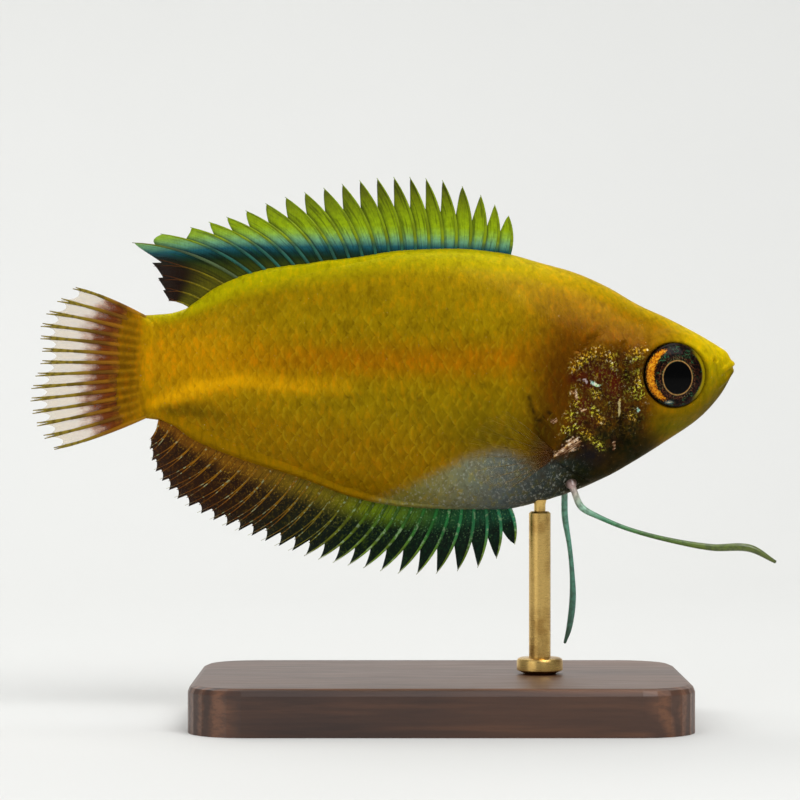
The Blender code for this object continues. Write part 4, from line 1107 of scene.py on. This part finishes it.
def scales(side, word, finish, draw):
    """The scales of one side as one joined mesh of thin closed plates that overlap towards the tail."""
    flank = Flank(side)
    along, across = np.meshgrid(SCALE_ALONG, SCALE_ACROSS, indexing="ij")
    faces = slab(*along.shape)
    if side < 0:
        faces = faces[:, ::-1]
    patch = np.stack([along - 0.5, across / 2], -1).reshape(-1, 2) * MAP_PATCH
    shape = Shape()
    for s, q, share in scale_places(flank, draw):
        size = draw.normal(1.0, 0.035)
        length = float(scale_pitch(s)) * SCALE_LENGTH * size
        width = share * float(scale_row(s)) * SCALE_WIDTH * size
        lean = draw.normal(0, 0.03)
        # Its rear edge is round, it is widest in the middle, and its front end lies under its neighbours.
        forward = length * (along * (1 - 0.26 * across ** 2) - 0.62)
        sideways = width * across * (0.86 + 0.14 * np.sin(math.pi * along))
        # Along the back and on the head the scales lie flatter.
        upper = float(ease(q, 3, 8))
        flat = max(upper, float(ease(s, 21, 14)))
        lift = (SCALE_LIFT + draw.normal(0, 0.003)) * (1 - 0.5 * flat)
        sink = SCALE_SINK * (1 - 0.9 * flat)
        height = sink + (lift - sink) * along ** 0.8 - 0.006 * across ** 2
        points, normals = flank.at(s + forward + sideways * lean, q + sideways - forward * lean)
        thick = SCALE_THICKNESS * (1 - (0.5 + 0.3 * flat) * along)
        top = points + normals * height[..., None]
        bottom = top - normals * thick[..., None]
        both = np.concatenate([top.reshape(-1, 3), bottom.reshape(-1, 3)])
        centre = 0.01 + 0.98 * (np.array([s, q]) - MAP_START) / MAP_SPAN
        shape.add(place(both), faces, patch=np.concatenate([centre + patch, centre + patch * 0.8]),
                  lie_along=np.tile(along.ravel(), 2), tone=draw.uniform(0, 1), plain=1 - 0.8 * upper,
                  **markings(both[:, 0], both[:, 2]))
    coat = shape.piece("scales_" + word, finish, "golden_skin", ())
    coat.data.set_sharp_from_angle(angle=SHARP)


# The eyes

def eye_middle(side):
    return place((EYE_S, side * EYE_RIM_Y, EYE_H))


def eye_axes(side):
    """The eye's own axes as columns: towards the head's rear, up, and out of the head a little forward."""
    turn = Matrix.Rotation(-side * EYE_FORWARD, 3, "Z")
    out = np.array(turn @ Vector((0, side, 0)))
    rear = np.array(turn @ Vector((-1, 0, 0)))
    return np.stack([rear, np.array([0.0, 0.0, 1.0]), out], -1)


def eye(side, word, finish):
    """One eyeball, a dome in front and a shallow back, with the places of the iris's colours."""
    rings, spokes = 44, 72
    out = EYE_RADIUS * np.sin(np.linspace(0, math.pi / 2, rings))
    deep = EYE_DOME * np.sqrt(np.maximum(0, 1 - (out / EYE_RADIUS) ** 2))
    rear_turn = np.linspace(0, math.pi / 2, 9)[1:-1]
    out = np.concatenate([out[1:], EYE_RADIUS * np.cos(rear_turn)])
    deep = np.concatenate([deep[1:], -EYE_BACK * np.sin(rear_turn)])
    turn = circle(spokes)
    x, y = out[:, None] * np.cos(turn), out[:, None] * np.sin(turn)
    z = np.repeat(deep[:, None], spokes, axis=1)
    local = np.concatenate([np.stack([x, y, z], -1).reshape(-1, 3), [[0, 0, EYE_DOME], [0, 0, -EYE_BACK]]])
    x, y = local[:, 0], local[:, 1]
    away = np.hypot(x, y)
    around = np.degrees(np.arctan2(y, x))
    thick = 0.25 * np.sqrt(np.clip(1 - (around / 72) ** 2, 0, 1)) + 0.02
    quads, caps = pointed(len(out), spokes)
    if side > 0:
        quads = quads[:, ::-1]
        caps = [c[::-1] for c in caps]
    shape = Shape()
    shape.add(local @ eye_axes(side).T + eye_middle(side), quads, caps, eye_out=away,
              pupil_out=np.hypot(1.02 * x, 0.92 * (y + 0.2)),
              crescent=bell(away - 1.99, thick, 4) * (1 - ease(np.abs(around), 56, 76)),
              # Where the eye's painted reflection lies.
              glint=blob(x, y, 0.55, -2, 0.2, 0.1),
              lid=ease(away, 1.94, 2.08) * ease(-x, 1.1, 1.9))
    shape.piece("eyeball_" + word, finish, "eye", ("eye_" + word,))


# The fins

def midline_surface(base, form, line, up):
    """The fin's surface as a function of how far along the base and out along a ray, both from 0 to 1."""
    back, out = smooth(form, 1), smooth(form, 2)

    def point(along, t):
        root = base[0] + along * (base[1] - base[0])
        length = np.hypot(back(along), out(along))
        bow = FIN_BOW * length * 4 * t * (1 - t)
        s = root + back(along) * t - bow * out(along) / length
        h = line(root) + up * (FIN_GAP + out(along) * t + bow * back(along) / length)
        y = FIN_WAVE * np.maximum(t, 0) * np.sin(2 * math.pi * (s - base[0]) / FIN_WAVE_LENGTH)
        return np.stack([s, y, h], -1)

    return point


def caudal_point(along, t):
    """The tail fin's surface, from its top ray down and out along each ray."""
    root, tip = caudal_reach(along)
    h = caudal_level(along, t)
    y = CAUDAL_WAVE * np.maximum(t, 0) * np.sin(h / 2.2)
    return np.stack([root + (tip - root) * t, y, h], -1)


def pectoral_surface(side):
    outward = skin_normal(*PECTORAL_ROOT, side)
    rear = np.array([math.cos(PECTORAL_RISE), 0, math.sin(PECTORAL_RISE)])
    length_way = unit(rear * math.cos(PECTORAL_LIFT) + outward * math.sin(PECTORAL_LIFT))
    normal = unit(outward - length_way * (outward @ length_way))
    width_way = np.cross(normal, length_way)
    width_way = width_way * (-1 if width_way[2] < 0 else 1)
    origin = bare_skin(*PECTORAL_ROOT, side) + outward * 0.45

    def point(along, t):
        angle = PECTORAL_FAN[0] + along * (PECTORAL_FAN[1] - PECTORAL_FAN[0])
        reach = PECTORAL_LENGTH * (1 - 0.45 * np.abs(1.8 * along - 0.72) ** 2)
        far = reach * np.cos(angle) * t
        wide = PECTORAL_ROOT_WIDTH * (0.5 - along) + reach * np.sin(angle) * t
        cup = PECTORAL_CUP * (far / PECTORAL_LENGTH) ** 2
        return origin + length_way * far[..., None] + width_way * wide[..., None] - normal * cup[..., None]

    return point, normal


def fin(surface, rays, spines, notch, radii, branch_from, root,
        across=(0, 1, 0), dip=0.0, thickness=0.07, spread=0.24, branch=0.76, edge_curve=1.2):
    """A thin membrane with its rays: stiff tapered spines first, then soft rays that fork towards the edge.

    notch gives how deep the free edge is cut in front of each ray, dip how far it falls between rays."""
    shape = Shape()
    across = np.asarray(across, float)
    gaps = rays - 1
    rows = np.linspace(0, 1, 19)
    sheet, values = [], []
    for k in range(gaps):
        for u in (0.02, 0.12, 0.3, 0.5, 0.7, 0.88, 0.98):
            top = (1 - u ** edge_curve) * 0.98 + u ** edge_curve * (1 - float(notch((k + 1) / gaps)))
            top -= dip * math.sin(math.pi * u) ** 0.7
            t = root + (top - root) * rows
            along = np.full(len(t), (k + u) / gaps)
            sheet.append(surface(along, t))
            values.append((np.maximum(t, 0), np.full(len(t), u), along))
    sheet = np.array(sheet)
    half = thickness / 2 * (1 - 0.5 * rows)[None, :, None] * across
    both = np.concatenate([(sheet - half).reshape(-1, 3), (sheet + half).reshape(-1, 3)])
    out, panel, along = (np.tile(np.concatenate(column), 2) for column in zip(*values))
    shape.add(place(both), slab(len(sheet), len(rows)), fin_out=out, panel=panel, fin_along=along)
    for k in range(rays):
        along = k / gaps
        soft = k >= spines
        thick = radii[1] if soft else radii[0]
        fork = branch_from if soft else 1.0
        t = np.linspace(root, fork, 14)
        taper = 0.5 * np.maximum(t, 0) if soft else 0.84 * np.maximum(t, 0) ** 1.8
        add_ray(shape, surface, np.full(len(t), along), t, thick * (1.02 - taper), along, across)
        if not soft:
            continue
        for way in (-1, 1):
            end = 0.985 if way > 0 else 1 - 0.85 * float(notch(along))
            t = np.linspace(fork - 0.04, end, 12)
            away = way * spread * ease(t, fork - 0.02, 1.05) / gaps
            thin = thick * (branch - 0.5 * t) * (1 - 0.6 * ease(t, 0.8, 1))
            add_ray(shape, surface, np.clip(along + away, 0, 1), t, thin, along, across)
    return shape


def add_ray(shape, surface, along, t, radii, where, across):
    line = place(surface(along, t))
    points, quads, caps, share = tube(line, np.maximum(radii, 0.018), 7, across)
    length = np.linalg.norm(line[-1] - line[0])
    out = np.maximum(t[0] + share * (t[-1] - t[0]), 0)
    bead = np.sin(2 * math.pi * share * length / 0.42)
    shape.add(points, quads, caps, fin_out=out, fin_along=where, panel=0.0, ray=1.0, bead=bead)


def fins():
    surface = midline_surface(DORSAL_BASE, DORSAL_FORM, back_line, 1)
    shape = fin(surface, DORSAL_RAYS, DORSAL_SPINES, dorsal_notch, (0.13, 0.08), 0.5, -0.22)
    dorsal = shape.piece("dorsal_fin_rays", dorsal_finish(), "dorsal_fin", ("dorsal_fin",))
    fish = fish_place(read(dorsal.data.vertices, "co") / MM)
    store(dorsal.data, "band_height", fish[:, 2] - blue_band(fish[:, 0]))

    surface = midline_surface(ANAL_BASE, ANAL_FORM, belly_line, -1)
    shape = fin(surface, ANAL_RAYS, ANAL_SPINES, anal_notch, (0.14, 0.1), 0.16, -0.22, dip=0.04)
    shape.piece("anal_fin_rays", anal_finish(), "anal_fin", ("anal_fin",))

    shape = fin(caudal_point, CAUDAL_RAYS, 0, lambda along: 0.03, (0.185, 0.185), 0.66, -0.1, dip=0.14,
                spread=0.13, branch=0.95, edge_curve=1.0)
    shape.piece("caudal_fin_rays", caudal_finish(), "clear_fin", ("caudal_fin",))

    for side, word in SIDES:
        surface, normal = pectoral_surface(side)
        shape = fin(surface, PECTORAL_RAYS, 0, lambda along: 0.05, (0.07, 0.065), 0.55, -0.08, across=normal,
                    dip=0.03, thickness=0.05)
        shape.piece("pectoral_rays_" + word, pectoral_finish(), "clear_fin", ("pectoral_fin_" + word,))


def threads():
    for side, word in SIDES:
        foot, route, stops = THREADS[word]
        skin_foot, outward = bare_skin(*foot, side), skin_normal(*foot, side)
        points = [(*(skin_foot + outward * out), radius) for out, radius in THREAD_FOOT]
        points += [(s, side * y, h, radius) for s, y, h, radius in route]
        line = curve_through(points, 110)
        points, quads, caps, share = tube(place(line[:, :3]), line[:, 3], 12)
        shape = Shape()
        shape.add(points, quads, caps, thread_out=share)
        name = "thread_" + word
        shape.piece(name, thread_finish(name, stops), "thread", ("pelvic_thread_" + word,))


# The stand

def stand():
    """The base keeps its CAD node. The rod is turned anew, with a pin on which the belly sits."""
    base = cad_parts["stand_base"].data
    base.materials.clear()
    base.materials.append(wood_finish())
    base.shade_smooth()
    base.set_sharp_from_angle(angle=SHARP)
    line = [(SNOUT_X - ROD_S, 0, height) for height, _ in ROD_PROFILE]
    points, quads, caps, _ = tube(line, [radius for _, radius in ROD_PROFILE], 48)
    shape = Shape()
    shape.add(points, quads, caps)
    rod = shape.piece("brass_rod", brass_finish(), "stand_metal", ("stand_rod",))
    rod.data.set_sharp_from_angle(angle=SHARP)


# The studio

def floor():
    """A pale floor that curves up into a backdrop."""
    depth, height, radius, width = 260.0, 420.0, 120.0, 700.0
    profile = [(-500.0, 0.0), (depth - radius, 0.0)]
    for turn in np.linspace(0, math.pi / 2, 16)[1:]:
        profile.append((depth - radius + radius * math.sin(turn), radius - radius * math.cos(turn)))
    profile.append((depth, height))
    shape = Shape()
    shape.add([(x, y, z) for y, z in profile for x in (-width, width)], grid(len(profile), 2))
    made = add_object("floor", shape.mesh("floor"))
    made.data.materials.append(floor_finish())


def lights(middle):
    for name, spot, size, power in (
        ("key", (0.16, -0.26, 0.36), 0.26, 1.25),
        ("fill", (-0.34, -0.36, 0.14), 0.34, 0.4),
        ("top", (0.0, 0.05, 0.42), 0.3, 0.75),
        ("back", (-0.2, 0.2, 0.28), 0.2, 0.4),
    ):
        light = bpy.data.lights.new(name, "AREA")
        light.energy = power
        light.size = size
        lamp = add_object(name, light)
        lamp.location = spot
        lamp.rotation_euler = (middle - Vector(spot)).to_track_quat("-Z", "Y").to_euler()
    world = bpy.data.worlds.new("studio")
    world.use_nodes = True
    sky = world.node_tree.nodes["Background"].inputs
    sky["Color"].default_value = (0.92, 0.95, 1.0, 1.0)
    sky["Strength"].default_value = 0.3
    bpy.context.scene.world = world


def camera(middle):
    lens = bpy.data.cameras.new("camera")
    lens.lens = LENS
    lens.sensor_width = SENSOR
    lens.clip_start = 0.01
    holder = add_object("camera", lens)
    holder.location = middle + Vector((0, -VIEW_SPAN * MM * LENS / SENSOR, 0))
    holder.rotation_euler = (math.pi / 2, 0, 0)
    bpy.context.scene.camera = holder
    bpy.context.scene.view_settings.view_transform = "Standard"


def main():
    draw = np.random.default_rng(11)
    skin()
    scale_skin = scale_finish()
    eye_skin = eye_finish()
    for side, word in SIDES:
        scales(side, word, scale_skin, draw)
        eye(side, word, eye_skin)
    fins()
    threads()
    stand()
    floor()
    middle = Vector((VIEW_MIDDLE[0], 0.0, VIEW_MIDDLE[1])) * MM
    lights(middle)
    camera(middle)


main()
